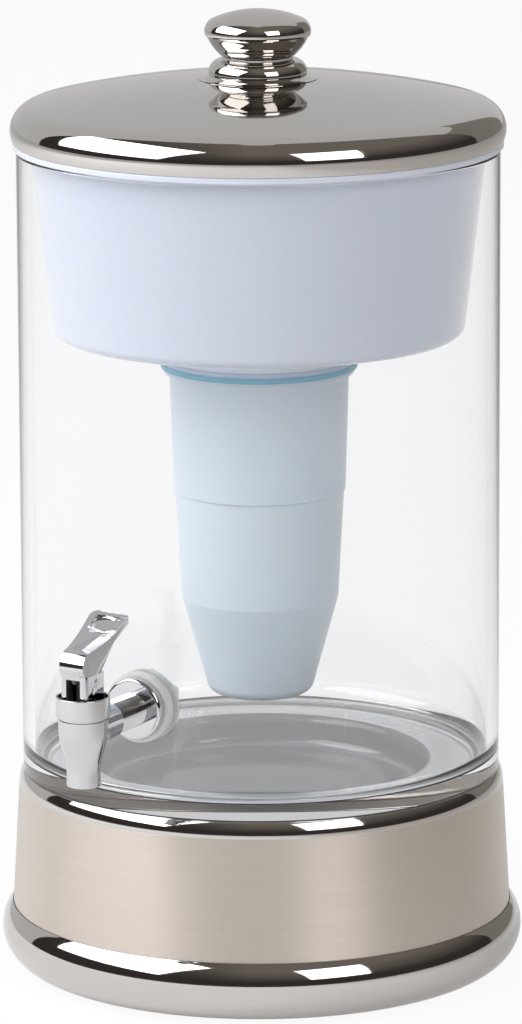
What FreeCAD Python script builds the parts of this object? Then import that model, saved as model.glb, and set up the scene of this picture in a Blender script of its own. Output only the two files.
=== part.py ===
import FreeCAD
import Part

import os
import re

import Sketcher

# Gravity water filter with a tap. A glass jar sits in the mouth of a steel stand.
# A plastic reservoir hangs in the jar's rim, a filter screws into it from below,
# a domed steel lid covers it, and a lever tap is clamped through the jar's wall.
# Millimetres, +Z up, origin on the floor on the jar's axis, tap towards -Y.

SIZES = {
    # steel sheet of the stand and the lid
    "sheet_wall": 0.8,
    "weld_gap": 0.1,
    # stand: rubber ring, foot bead, skirt, shoulder and lip
    "pad_height": 0.8,
    "pad_width": 7.0,
    "pad_inset": 1.0,
    "foot_bend": 17.5,
    "foot_bulge": 5.2,
    "skirt_flare": 3.6,
    "skirt_tuck": 4.0,
    "seat_height": 93.0,
    "lip_height": 5.2,
    "mouth_gap": 0.5,
    "shoulder_width": 3.0,
    "shoulder_bend": 13.0,
    "ledge_width": 4.0,
    # pressed dish that carries the jar
    "dish_radius": 80.0,
    "dish_bend": 8.0,
    "dish_step_radius": 50.0,
    "dish_step_bend": 1.2,
    # glass jar
    "jar_radius": 115.0,
    "jar_height": 305.9,
    "jar_wall": 5.6,
    "jar_base": 11.0,
    "jar_corner": 12.0,
    "jar_floor_bend": 8.0,
    "jar_rim_bend": 1.8,
    "tap_height": 57.3,
    "tap_hole_radius": 8.5,
    # reservoir
    "rim_overhang": 1.6,
    "rim_thickness": 3.2,
    "rim_bend": 1.0,
    "ridge_width": 2.0,
    "ridge_height": 2.2,
    "reservoir_gap": 0.6,
    "reservoir_depth": 87.9,
    "reservoir_taper": 10.6,
    "reservoir_wall": 2.4,
    "reservoir_corner": 10.0,
    "collar_radius": 46.0,
    "collar_wall": 3.2,
    "collar_height": 14.1,
    # filter: neck, gasket, sleeve and cup
    "thread_gap": 0.3,
    "neck_wall": 2.4,
    "neck_recess": 1.0,
    "gasket_height": 4.0,
    "gasket_radius": 47.3,
    "gasket_band": 1.3,
    "gasket_step": 0.5,
    "flange_radius": 45.9,
    "flange_thickness": 2.3,
    "sleeve_top_radius": 43.1,
    "sleeve_low_radius": 41.3,
    "sleeve_length": 57.8,
    "filter_wall": 1.8,
    "cup_seam": 0.6,
    "cup_spigot": 6.0,
    "cup_upper_length": 52.0,
    "cup_waist_radius": 37.7,
    "cup_floor_gap": 29.0,
    "cup_end_radius": 24.6,
    "cup_bend": 7.0,
    "outlet_pitch": 9.0,
    "outlet_radius": 2.2,
    "outlet_count": 6,
    # filter: what it holds
    "media_gap": 0.3,
    "cap_thickness": 2.0,
    "cap_hub_radius": 7.0,
    "cap_hub_height": 2.0,
    "cap_slot_width": 3.0,
    "cap_slot_bend": 1.8,
    "cap_rim": 4.0,
    "cap_slot_count": 12,
    "mesh_thickness": 0.6,
    "foam_thickness": 8.0,
    "carbon_height": 44.4,
    "outlet_mesh_radius": 15.0,
    # lid and knob
    "lid_overhang": 2.8,
    "lid_roll": 12.5,
    "lid_roll_height": 5.5,
    "lid_rise": 30.2,
    "hem_gap": 0.5,
    "knob_gap": 0.05,
    "knob_foot_radius": 28.4,
    "knob_foot_edge": 0.6,
    "knob_flare_bend": 6.0,
    "knob_bead_radius": 23.4,
    "knob_bead_level": 1.0,
    "knob_bead_bend": 6.5,
    "knob_neck_radius": 16.8,
    "knob_neck_level": 8.6,
    "knob_neck_height": 1.0,
    "knob_cone_radius": 24.0,
    "knob_cone_bend": 26.0,
    "knob_step": 1.0,
    "knob_head_level": 18.8,
    "knob_head_height": 8.3,
    "knob_head_bend": 6.6,
    "knob_crown_radius": 22.4,
    "knob_height": 32.0,
    "screw_radius": 2.2,
    "screw_depth": 14.0,
    "screw_head_radius": 4.5,
    "screw_head_height": 3.0,
    "screw_slot_width": 1.2,
    "screw_slot_depth": 1.4,
    "screw_clearance": 0.5,
    "knob_washer_radius": 7.0,
    "knob_washer_thickness": 1.0,
    # tap: shank, flange, washers and nut
    "tap_standoff": 52.7,
    "seal_gap": 0.05,
    "seal_wrap": 1.5,
    "outer_washer_thickness": 3.2,
    "inner_washer_thickness": 2.4,
    "washer_radius": 16.8,
    "tap_flange_radius": 14.8,
    "tap_flange_thickness": 5.0,
    "tap_flange_bend": 1.6,
    "shank_radius": 8.0,
    "shank_bore_radius": 4.0,
    "shank_end": 2.0,
    "shank_neck_radius": 8.9,
    "shank_neck_length": 22.0,
    "nut_sides": 6,
    "nut_radius": 16.0,
    "nut_height": 7.0,
    "nut_bend": 3.0,
    # tap: body, bonnet and seat cup, heights from the shank's axis
    "body_top": 10.7,
    "body_top_radius": 10.9,
    "body_ledge_radius": 11.5,
    "body_shoulder_radius": 11.4,
    "body_shoulder_drop": 0.3,
    "body_taper_bend": 27.7,
    "body_waist_radius": 9.75,
    "body_waist_drop": 8.8,
    "spout_bend": 31.8,
    "spout_foot_radius": 7.85,
    "spout_lip": 5.3,
    "spout_radius": 7.95,
    "spout_drop": 26.1,
    "spout_bore_radius": 5.4,
    "throat_radius": 4.0,
    "throat_length": 3.0,
    "valve_seat_drop": 6.0,
    "chamber_radius": 7.5,
    "cup_rim_radius": 9.0,
    "cup_rim_thickness": 1.2,
    "cup_rim_gap": 0.1,
    "seat_nose_radius": 5.5,
    "seat_nose_height": 7.5,
    "seat_bell_radius": 6.6,
    "seat_bell_height": 10.0,
    "seat_cavity_radius": 4.3,
    "seat_floor": 1.6,
    "bonnet_radius": 12.6,
    "bonnet_recess_radius": 11.6,
    "bonnet_skirt": 5.0,
    "bonnet_web": 1.6,
    "bonnet_recess_depth": 4.2,
    "bonnet_bend": 0.6,
    "running_gap": 0.05,
    # tap: stem and lever
    "stem_radius": 3.0,
    "stem_knob_radius": 3.8,
    "stem_knob_height": 2.0,
    "stem_neck_height": 1.0,
    "lever_gap": 0.3,
    "lever_block_width": 14.0,
    "lever_block_depth": 17.4,
    "lever_block_height": 14.6,
    "lever_block_bend": 2.0,
    "lever_heel_bend": 4.0,
    "lever_toe_bend": 3.0,
    "lever_slot_gap": 0.7,
    "pin_height": 9.6,
    "pin_radius": 1.2,
    "nose_reach": 1.7,
    "nose_height": 3.0,
    "nose_bend": 9.0,
    "strap_start": 7.0,
    "strap_height": 10.7,
    "strap_bend": 90.0,
    "strap_width": 12.6,
    "paddle_reach": 27.0,
    "paddle_height": 23.3,
    "paddle_width": 20.8,
    "paddle_thickness": 2.2,
    "paddle_corner": 3.5,
    "web_back": 3.0,
    "web_reach": 13.4,
    "web_height": 12.8,
    "thumb_back": 7.8,
    "thumb_drop": 4.4,
    "thumb_slope": 27.0,
    "thumb_length": 11.6,
    "thumb_width": 13.0,
    "thumb_depth": 0.9,
}

# Sizes that follow from the ones above, in the same units.
DERIVED = {
    # stand
    "mouth_radius": (
        "jar_radius - jar_corner + mouth_gap"
        " + sqrt(jar_corner ^ 2 - max(jar_corner - lip_height; 0) ^ 2)"
    ),
    "lip_level": "seat_height + lip_height",
    "skirt_top_radius": "mouth_radius + sheet_wall + shoulder_width",
    "shoulder_level": "lip_level - sqrt(shoulder_bend ^ 2 - (shoulder_bend - shoulder_width) ^ 2)",
    "shoulder_inner_level": (
        "shoulder_level"
        " + sqrt((shoulder_bend - sheet_wall) ^ 2 - (shoulder_bend - shoulder_width) ^ 2)"
    ),
    "skirt_low_radius": "skirt_top_radius + skirt_flare",
    "foot_centre": "skirt_low_radius + foot_bulge - foot_bend",
    "crease_reach": "foot_bend - foot_bulge + weld_gap",
    "crease_level": "pad_height + foot_bend + sqrt(foot_bend ^ 2 - crease_reach ^ 2)",
    "crease_inner_level": (
        "pad_height + foot_bend + sqrt((foot_bend - sheet_wall) ^ 2 - crease_reach ^ 2)"
    ),
    "pad_outer_radius": "foot_centre - pad_inset",
    "dish_floor": "seat_height - 2 * dish_bend",
    "dish_top": "dish_floor + 2 * dish_step_bend",
    # jar and reservoir
    "jar_inner_radius": "jar_radius - jar_wall",
    "jar_rim": "seat_height + jar_height",
    "reservoir_top_radius": "jar_inner_radius - reservoir_gap",
    "reservoir_bottom_radius": "reservoir_top_radius - reservoir_taper",
    "collar_bore": "collar_radius - collar_wall",
    "ridge_radius": "reservoir_top_radius - reservoir_wall + ridge_width",
    # filter, heights from the lower face of the reservoir's collar
    "filter_level": "jar_rim - reservoir_depth - collar_height",
    "neck_radius": "collar_bore - thread_gap",
    "neck_top": "collar_height + reservoir_wall - neck_recess",
    "flange_low": "gasket_height + flange_thickness",
    "seam_drop": "flange_low + sleeve_length",
    "sleeve_bore": "sleeve_low_radius - filter_wall",
    "spigot_radius": "sleeve_bore - weld_gap",
    "waist_drop": "seam_drop + cup_upper_length",
    "cup_bottom": "filter_level - seat_height - jar_base - cup_floor_gap",
    "cap_radius": "neck_radius - neck_wall - media_gap",
    "media_radius": "sleeve_bore - media_gap",
    "foam_top": "neck_top - neck_recess - cap_thickness - mesh_thickness",
    "carbon_top": "foam_top - foam_thickness",
    "resin_top": "carbon_top - carbon_height",
    # lid, heights from the reservoir's rim
    "lid_level": "jar_rim + rim_thickness",
    "roll_centre": "jar_radius + lid_overhang - lid_roll",
    "dome_rise": "lid_rise - lid_roll_height",
    "dome_bend": (
        "(roll_centre ^ 2 + dome_rise ^ 2 - lid_roll ^ 2) / (2 * (dome_rise - lid_roll))"
    ),
    "dome_share": "1 / (dome_bend - lid_roll)",
    "dome_centre": "lid_rise - dome_bend",
    "hem_radius": "ridge_radius + hem_gap",
    "screw_hole_radius": "screw_radius + screw_clearance",
    "knob_bore_sag": "sqrt((dome_bend + knob_gap) ^ 2 - screw_radius ^ 2) - dome_bend",
    "knob_foot_sag": "sqrt((dome_bend + knob_gap) ^ 2 - knob_foot_radius ^ 2) - dome_bend",
    "knob_head_radius": "knob_cone_radius + knob_step",
    "knob_crown": "knob_height - knob_head_level - knob_head_height",
    "knob_crown_bend": "(knob_crown_radius ^ 2 + knob_crown ^ 2) / (2 * knob_crown)",
    "washer_drop": "dome_bend - sqrt((dome_bend - sheet_wall) ^ 2 - knob_washer_radius ^ 2)",
    # tap
    "tap_reach": "jar_radius + tap_standoff",
    "tap_level": "seat_height + tap_height",
    "flange_back": "jar_radius + outer_washer_thickness",
    "nut_face": "jar_inner_radius - inner_washer_thickness",
    "shank_length": "tap_reach - nut_face + nut_height + shank_end",
    "body_ledge": "body_top - bonnet_skirt - weld_gap",
    "recess_floor": "body_top + bonnet_web",
    "lever_bottom": "recess_floor + lever_gap",
    "lever_block_top": "lever_bottom + lever_block_height",
    "pin_level": "lever_bottom + pin_height",
    "cup_floor_level": "seat_floor - valve_seat_drop",
    "knob_neck_low": "cup_floor_level + stem_knob_height",
}

NEAR = 0.001
QUARTER_TURN = 90
FULL_TURN = 360

document = FreeCAD.newDocument("gravity_water_filter")
nodes = []


def bind(formula, sheets=("Sizes", "Derived")):
    """Name the sheet of each size in a formula."""
    def full_name(found):
        word = found.group()
        if word in SIZES:
            return "Sizes." + word
        if word in DERIVED and "Derived" in sheets:
            return "Derived." + word
        return word
    return re.sub(r"[a-z]+(_[a-z]+)*", full_name, formula)


def make_sheet(name, entries):
    """Put a name, a value and the name as alias on each row of a sheet."""
    sheet = document.addObject("Spreadsheet::Sheet", name)
    for row, (alias, entry) in enumerate(entries.items(), 1):
        sheet.set(f"A{row}", alias.replace("_", " "))
        sheet.set(f"B{row}", entry)
        sheet.setAlias(f"B{row}", alias)
    document.recompute()
    return sheet


make_sheet("Sizes", {alias: str(size) for alias, size in SIZES.items()})
derived_sheet = make_sheet(
    "Derived", {alias: "=" + bind(text, ("Sizes",)) for alias, text in DERIVED.items()}
)


def number(formula):
    """Work a formula out from the sheets."""
    return float(derived_sheet.evalExpression(bind(formula)))


def arc_between(start, end, bend):
    """Make the short arc from start to end, clockwise where bend is negative."""
    middle = (start + end) / 2
    chord = end - start
    rise = max(bend ** 2 - (chord.Length / 2) ** 2, 0.0) ** 0.5
    across = FreeCAD.Vector(-chord.y, chord.x, 0).normalize()
    turn = 1 if bend > 0 else -1
    centre = middle + across * rise * turn
    top = centre - across * abs(bend) * turn
    return Part.Arc(start, top, end) if turn > 0 else Part.Arc(end, top, start)


def draw(body, role, label, outlines=(), circles=()):
    """Sketch closed outlines and circles that follow the sheets.

    A point is (across, up), or (across, up, bend) where an arc leads to the next
    point, clockwise with a minus sign. A circle is (across, up, radius).
    """
    sketch = body.newObject("Sketcher::SketchObject", label)
    plane = next(item for item in body.Origin.OriginFeatures if item.Role == role)
    sketch.AttachmentSupport = [(plane, "")]
    sketch.MapMode = "FlatFace"
    geometry = []
    rules = []
    formulas = {}

    def tie(kind, place, formula):
        rules.append(Sketcher.Constraint(kind, *place, number(formula)))
        formulas[len(rules) - 1] = formula

    def pin_down(edge, end, across, up):
        for kind, axis, formula in (("DistanceX", -2, across), ("DistanceY", -1, up)):
            if formula == "0":
                rules.append(Sketcher.Constraint("PointOnObject", edge, end, axis))
            else:
                tie(kind, (-1, 1, edge, end), formula)

    for points in outlines:
        first = len(geometry)
        spots = [FreeCAD.Vector(number(point[0]), number(point[1]), 0) for point in points]
        ends = []
        for index, point in enumerate(points):
            here = spots[index]
            there = spots[(index + 1) % len(points)]
            bend = number(point[2]) if len(point) == 3 else 0
            ends.append((2, 1) if bend < 0 else (1, 2))
            geometry.append(arc_between(here, there, bend) if bend else Part.LineSegment(here, there))
        for index, point in enumerate(points):
            after = (index + 1) % len(points)
            rules.append(Sketcher.Constraint(
                "Coincident", first + index, ends[index][1], first + after, ends[after][0]
            ))
            pin_down(first + index, ends[index][0], point[0], point[1])
            if len(point) == 3:
                tie("Radius", (first + index,), point[2].lstrip("-"))
    for across, up, radius in circles:
        centre = FreeCAD.Vector(number(across), number(up), 0)
        geometry.append(Part.Circle(centre, FreeCAD.Vector(0, 0, 1), number(radius)))
        pin_down(len(geometry) - 1, 3, across, up)
        tie("Radius", (len(geometry) - 1,), radius)
    sketch.addGeometry(geometry)
    sketch.addConstraint(rules)
    for index, formula in formulas.items():
        sketch.setExpression(f"Constraints[{index}]", bind(formula))
    return sketch


def new_body(label):
    """Start a piece that is built up from features."""
    body = document.addObject("PartDesign::Body", label)
    nodes.append(body)
    return body


def spin(body, label, points, kind="Revolution", role="XZ_Plane", axis="V_Axis"):
    """Turn an outline about an axis of its own plane."""
    sketch = draw(body, role, label + "_outline", [points])
    feature = body.newObject("PartDesign::" + kind, label)
    feature.Profile = sketch
    feature.ReferenceAxis = (sketch, [axis])
    feature.Angle = FULL_TURN
    return feature


def turned(label, points):
    """Make a piece by turning one outline about its upright axis."""
    body = new_body(label)
    spin(body, label + "_turn", points)
    return body


def extrude(body, kind, label, sketch, length, side="One side", backwards=False):
    """Pad or pocket a sketch by a length from the sheets."""
    feature = body.newObject("PartDesign::" + kind, label)
    feature.Profile = sketch
    feature.SideType = side
    feature.Reversed = backwards
    feature.setExpression("Length", bind(length))
    return feature


def round_off(body, label, bend, chosen):
    """Round the edges of a piece that a test picks out."""
    document.recompute()
    tip = body.Tip
    names = [f"Edge{count}" for count, edge in enumerate(tip.Shape.Edges, 1) if chosen(edge)]
    if not names:
        raise ValueError("no edge to round on " + label)
    fillet = body.newObject("PartDesign::Fillet", label)
    fillet.Base = (tip, names)
    fillet.setExpression("Radius", bind(bend))
    return fillet


def rims(*places):
    """Pick the circular edges at the given pairs of radius and height."""
    wanted = [(number(radius), number(level)) for radius, level in places]

    def chosen(edge):
        if not isinstance(edge.Curve, Part.Circle):
            return False
        return any(
            abs(edge.Curve.Radius - radius) < NEAR and abs(edge.Curve.Center.z - level) < NEAR
            for radius, level in wanted
        )
    return chosen


def repeat_round(body, label, feature, sketch, count):
    """Repeat a feature evenly about its sketch's normal."""
    pattern = body.newObject("PartDesign::PolarPattern", label)
    pattern.Originals = [feature]
    pattern.Axis = (sketch, ["N_Axis"])
    pattern.Angle = FULL_TURN
    pattern.setExpression("Occurrences", bind(count))
    body.Tip = pattern
    return pattern


def place(piece, up, outward="0", turn=FreeCAD.Rotation()):
    """Stand a piece at a height, and outward from the jar's axis towards the tap."""
    piece.Placement = FreeCAD.Placement(FreeCAD.Vector(), turn)
    piece.setExpression("Placement.Base.y", bind(f"-({outward})"))
    piece.setExpression("Placement.Base.z", bind(up))


ACROSS = FreeCAD.Vector(1, 0, 0)
OUTWARD = FreeCAD.Rotation(ACROSS, QUARTER_TURN)
INWARD = FreeCAD.Rotation(ACROSS, -QUARTER_TURN)
SIDEWAYS = FreeCAD.Rotation(FreeCAD.Vector(0, 1, 0), QUARTER_TURN)
CORNER_UP = FreeCAD.Rotation(FreeCAD.Vector(0, 0, 1), FULL_TURN / SIZES["nut_sides"] / 2)


# Stand

def make_stand_skirt():
    """Tapered skirt whose shoulder rolls in to a lip and folds down to a ledge."""
    body = turned("stand_skirt", [
        ("skirt_low_radius", "crease_level - skirt_tuck"),
        ("skirt_top_radius", "shoulder_level", "shoulder_bend"),
        ("mouth_radius + sheet_wall", "lip_level", "sheet_wall"),
        ("mouth_radius", "lip_level - sheet_wall"),
        ("mouth_radius", "seat_height - sheet_wall"),
        ("mouth_radius - ledge_width", "seat_height - sheet_wall"),
        ("mouth_radius - ledge_width", "seat_height - 2 * sheet_wall"),
        ("mouth_radius + sheet_wall", "seat_height - 2 * sheet_wall"),
        ("mouth_radius + sheet_wall", "shoulder_inner_level", "-(shoulder_bend - sheet_wall)"),
        ("skirt_top_radius - sheet_wall", "shoulder_level"),
        ("skirt_low_radius - sheet_wall", "crease_level - skirt_tuck"),
    ])
    place(body, "0")


def make_stand_foot():
    """Round bead at the foot of the skirt, turned in below to a flat flange."""
    body = turned("stand_foot", [
        ("pad_outer_radius - pad_width - pad_inset", "pad_height"),
        ("foot_centre", "pad_height", "foot_bend"),
        ("skirt_low_radius + weld_gap", "crease_level"),
        ("skirt_low_radius + weld_gap", "crease_inner_level", "-(foot_bend - sheet_wall)"),
        ("foot_centre", "pad_height + sheet_wall"),
        ("pad_outer_radius - pad_width - pad_inset", "pad_height + sheet_wall"),
    ])
    place(body, "0")


def make_foot_pad():
    """Rubber ring that the foot's flange stands on."""
    body = turned("foot_pad", [
        ("pad_outer_radius - pad_width", "0"),
        ("pad_outer_radius", "0"),
        ("pad_outer_radius", "pad_height"),
        ("pad_outer_radius - pad_width", "pad_height"),
    ])
    place(body, "0")


def make_stand_dish():
    """Pressed seat: a flat ledge, a rounded wall and a stepped floor, one wall thick."""
    body = turned("stand_dish", [
        ("mouth_radius - weld_gap", "seat_height"),
        ("dish_radius + dish_bend", "seat_height", "dish_bend"),
        ("dish_radius", "seat_height - dish_bend", "-dish_bend"),
        ("dish_radius - dish_bend", "dish_floor"),
        ("dish_step_radius + dish_step_bend", "dish_floor", "-dish_step_bend"),
        ("dish_step_radius", "dish_floor + dish_step_bend", "dish_step_bend"),
        ("dish_step_radius - dish_step_bend", "dish_top"),
        ("0", "dish_top"),
        ("0", "dish_top - sheet_wall"),
        ("dish_step_radius - dish_step_bend", "dish_top - sheet_wall",
         "-(dish_step_bend - sheet_wall)"),
        ("dish_step_radius - sheet_wall", "dish_floor + dish_step_bend",
         "dish_step_bend + sheet_wall"),
        ("dish_step_radius + dish_step_bend", "dish_floor - sheet_wall"),
        ("dish_radius - dish_bend", "dish_floor - sheet_wall", "dish_bend + sheet_wall"),
        ("dish_radius + sheet_wall", "seat_height - dish_bend", "-(dish_bend - sheet_wall)"),
        ("dish_radius + dish_bend", "seat_height - sheet_wall"),
        ("mouth_radius - weld_gap", "seat_height - sheet_wall"),
    ])
    place(body, "0")


# Jar

def make_glass_jar():
    """Straight jar with a thick base, round corners and a hole for the tap."""
    body = turned("glass_jar", [
        ("0", "0"),
        ("jar_radius - jar_corner", "0", "jar_corner"),
        ("jar_radius", "jar_corner"),
        ("jar_radius", "jar_height - jar_rim_bend", "jar_rim_bend"),
        ("jar_radius - jar_rim_bend", "jar_height"),
        ("jar_inner_radius + jar_rim_bend", "jar_height", "jar_rim_bend"),
        ("jar_inner_radius", "jar_height - jar_rim_bend"),
        ("jar_inner_radius", "jar_base + jar_floor_bend", "-jar_floor_bend"),
        ("jar_inner_radius - jar_floor_bend", "jar_base"),
        ("0", "jar_base"),
    ])
    hole = draw(body, "XZ_Plane", "tap_hole_outline", circles=[("0", "tap_height", "tap_hole_radius")])
    extrude(body, "Pocket", "tap_hole", hole, "jar_radius + seal_wrap", backwards=True)
    place(body, "seat_height")


# Reservoir and filter

def make_reservoir():
    """Tapered tub with a rim, a locating ridge and a collar for the filter."""
    body = turned("reservoir_tub", [
        ("collar_bore", "-reservoir_depth - collar_height"),
        ("collar_radius", "-reservoir_depth - collar_height"),
        ("collar_radius", "-reservoir_depth"),
        ("reservoir_bottom_radius", "-reservoir_depth"),
        ("reservoir_top_radius", "0"),
        ("jar_radius + rim_overhang", "0"),
        ("jar_radius + rim_overhang", "rim_thickness"),
        ("ridge_radius", "rim_thickness"),
        ("ridge_radius", "rim_thickness + ridge_height"),
        ("reservoir_top_radius - reservoir_wall", "rim_thickness + ridge_height"),
        ("reservoir_bottom_radius - reservoir_wall", "reservoir_wall - reservoir_depth"),
        ("collar_bore", "reservoir_wall - reservoir_depth"),
    ])
    round_off(body, "tub_corner", "reservoir_corner",
              rims(("reservoir_bottom_radius", "-reservoir_depth")))
    round_off(body, "tub_inner_corner", "reservoir_corner - reservoir_wall",
              rims(("reservoir_bottom_radius - reservoir_wall", "reservoir_wall - reservoir_depth")))
    round_off(body, "tub_rim", "rim_bend",
              rims(("jar_radius + rim_overhang", "0"), ("jar_radius + rim_overhang", "rim_thickness")))
    place(body, "jar_rim")


def make_filter_shells():
    """Gasket, sleeve with its neck and flange, and the tapered cup welded below it."""
    gasket = turned("filter_gasket", [
        ("neck_radius + weld_gap", "-gasket_height"),
        ("gasket_radius", "-gasket_height"),
        ("gasket_radius", "-gasket_band"),
        ("gasket_radius - gasket_step", "-gasket_band + gasket_step"),
        ("gasket_radius - gasket_step", "0"),
        ("neck_radius + weld_gap", "0"),
    ])
    sleeve = turned("filter_sleeve", [
        ("sleeve_bore", "-seam_drop"),
        ("sleeve_low_radius", "-seam_drop"),
        ("sleeve_top_radius", "-flange_low"),
        ("flange_radius", "-flange_low"),
        ("flange_radius", "-gasket_height"),
        ("neck_radius", "-gasket_height"),
        ("neck_radius", "neck_top"),
        ("neck_radius - neck_wall", "neck_top"),
    ])
    cup = turned("filter_cup", [
        ("0", "-cup_bottom"),
        ("cup_end_radius", "-cup_bottom"),
        ("cup_waist_radius", "-waist_drop"),
        ("sleeve_low_radius - cup_seam", "-seam_drop"),
        ("spigot_radius", "-seam_drop"),
        ("spigot_radius", "cup_spigot - seam_drop"),
        ("spigot_radius - filter_wall", "cup_spigot - seam_drop"),
        ("cup_waist_radius - filter_wall", "-waist_drop"),
        ("cup_end_radius - filter_wall", "filter_wall - cup_bottom"),
        ("0", "filter_wall - cup_bottom"),
    ])
    round_off(cup, "cup_corner", "cup_bend", rims(("cup_end_radius", "-cup_bottom")))
    round_off(cup, "cup_inner_corner", "cup_bend - filter_wall",
              rims(("cup_end_radius - filter_wall", "filter_wall - cup_bottom")))
    hole = draw(cup, "XY_Plane", "outlet_outline", circles=[("outlet_pitch", "0", "outlet_radius")])
    outlet = extrude(cup, "Pocket", "outlet", hole, "cup_bottom + filter_wall")
    repeat_round(cup, "outlets", outlet, hole, "outlet_count")
    for piece in (gasket, sleeve, cup):
        place(piece, "filter_level")


def make_filter_cap():
    """Slotted disc with a raised hub that closes the filter's neck."""
    cap = new_body("filter_cap")
    spin(cap, "cap_turn", [
        ("0", "0"),
        ("cap_radius", "0"),
        ("cap_radius", "cap_thickness"),
        ("cap_hub_radius", "cap_thickness"),
        ("cap_hub_radius", "cap_thickness + cap_hub_height"),
        ("0", "cap_thickness + cap_hub_height"),
    ])
    slot = draw(cap, "XY_Plane", "slot_outline", [[
        ("cap_hub_radius + cap_slot_width", "-cap_slot_width / 2"),
        ("cap_radius - cap_rim", "-cap_slot_width / 2", "cap_slot_bend"),
        ("cap_radius - cap_rim", "cap_slot_width / 2"),
        ("cap_hub_radius + cap_slot_width", "cap_slot_width / 2", "cap_slot_bend"),
    ]])
    pocket = extrude(cap, "Pocket", "slot", slot, "cap_thickness + cap_hub_height", backwards=True)
    repeat_round(cap, "slots", pocket, slot, "cap_slot_count")
    place(cap, "filter_level + neck_top - neck_recess - cap_thickness")


def make_disc(label, radius, thickness, level):
    """Plain round layer of the filter, as a cylinder tied to the sheets."""
    disc = document.addObject("Part::Cylinder", label)
    disc.setExpression("Radius", bind(radius))
    disc.setExpression("Height", bind(thickness))
    place(disc, level)
    nodes.append(disc)


def make_filter_media():
    """Meshes, foam, carbon and resin, stacked from the cup's floor to the cap."""
    make_disc("inlet_mesh", "cap_radius", "mesh_thickness", "filter_level + foam_top")
    make_disc("foam_disc", "media_radius", "foam_thickness", "filter_level + carbon_top")
    make_disc("carbon_bed", "media_radius", "carbon_height", "filter_level + resin_top")
    make_disc("outlet_mesh", "outlet_mesh_radius", "mesh_thickness",
              "filter_level - cup_bottom + filter_wall")
    resin = turned("resin_bed", [
        ("0", "filter_wall + mesh_thickness - cup_bottom"),
        ("cup_end_radius - cup_bend - filter_wall", "filter_wall + mesh_thickness - cup_bottom"),
        ("cup_end_radius - filter_wall - media_gap", "cup_bend - cup_bottom"),
        ("cup_waist_radius - filter_wall - media_gap", "-waist_drop"),
        ("spigot_radius - filter_wall - media_gap", "cup_spigot - seam_drop"),
        ("media_radius", "cup_spigot - seam_drop + media_gap"),
        ("media_radius", "resin_top"),
        ("0", "resin_top"),
    ])
    place(resin, "filter_level")


# Lid

def make_lid_shell():
    """Domed sheet with a rolled edge and an inward hem that rests on the rim."""
    body = turned("lid_shell", [
        ("hem_radius", "0"),
        ("roll_centre + sqrt(lid_roll ^ 2 - lid_roll_height ^ 2)", "0", "lid_roll"),
        ("roll_centre * dome_bend * dome_share",
         "dome_centre + (lid_roll_height - dome_centre) * dome_bend * dome_share", "dome_bend"),
        ("screw_hole_radius", "dome_centre + sqrt(dome_bend ^ 2 - screw_hole_radius ^ 2)"),
        ("screw_hole_radius",
         "dome_centre + sqrt((dome_bend - sheet_wall) ^ 2 - screw_hole_radius ^ 2)",
         "-(dome_bend - sheet_wall)"),
        ("roll_centre * (dome_bend - sheet_wall) * dome_share",
         "dome_centre + (lid_roll_height - dome_centre) * (dome_bend - sheet_wall) * dome_share",
         "-(lid_roll - sheet_wall)"),
        ("roll_centre + sqrt((lid_roll - sheet_wall) ^ 2 - (lid_roll_height - sheet_wall) ^ 2)",
         "sheet_wall"),
        ("hem_radius", "sheet_wall"),
    ])
    place(body, "lid_level")


def make_lid_knob():
    """Turned knob: flared foot on the dome, bead, neck, cone and rounded head."""
    body = turned("lid_knob", [
        ("screw_radius", "knob_bore_sag", "-(dome_bend + knob_gap)"),
        ("knob_foot_radius", "knob_foot_sag"),
        ("knob_foot_radius", "knob_foot_sag + knob_foot_edge", "-knob_flare_bend"),
        ("knob_bead_radius", "knob_bead_level", "knob_bead_bend"),
        ("knob_neck_radius", "knob_neck_level"),
        ("knob_neck_radius", "knob_neck_level + knob_neck_height", "knob_cone_bend"),
        ("knob_cone_radius", "knob_head_level"),
        ("knob_head_radius", "knob_head_level + knob_step", "knob_head_bend"),
        ("knob_crown_radius", "knob_head_level + knob_head_height", "knob_crown_bend"),
        ("0", "knob_height"),
        ("0", "screw_depth"),
        ("screw_radius", "screw_depth"),
    ])
    place(body, "lid_level + lid_rise")


def make_knob_fixing():
    """Slotted screw and washer that hold the knob from inside the lid."""
    washer = turned("knob_washer", [
        ("screw_hole_radius", "-washer_drop - knob_washer_thickness"),
        ("knob_washer_radius", "-washer_drop - knob_washer_thickness"),
        ("knob_washer_radius", "-washer_drop"),
        ("screw_hole_radius", "-washer_drop"),
    ])
    screw = turned("knob_screw", [
        ("0", "-washer_drop - knob_washer_thickness - screw_head_height"),
        ("screw_head_radius", "-washer_drop - knob_washer_thickness - screw_head_height"),
        ("screw_head_radius", "-washer_drop - knob_washer_thickness"),
        ("screw_radius", "-washer_drop - knob_washer_thickness"),
        ("screw_radius", "screw_depth - knob_gap"),
        ("0", "screw_depth - knob_gap"),
    ])
    slot = draw(screw, "YZ_Plane", "drive_outline", [[
        ("-screw_head_radius - screw_slot_width",
         "-washer_drop - knob_washer_thickness - screw_head_height - screw_slot_width"),
        ("screw_head_radius + screw_slot_width",
         "-washer_drop - knob_washer_thickness - screw_head_height - screw_slot_width"),
        ("screw_head_radius + screw_slot_width",
         "-washer_drop - knob_washer_thickness - screw_head_height + screw_slot_depth"),
        ("-screw_head_radius - screw_slot_width",
         "-washer_drop - knob_washer_thickness - screw_head_height + screw_slot_depth"),
    ]])
    extrude(screw, "Pocket", "drive_slot", slot, "screw_slot_width", side="Symmetric")
    for piece in (washer, screw):
        place(piece, "lid_level + lid_rise")


# Tap

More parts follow.
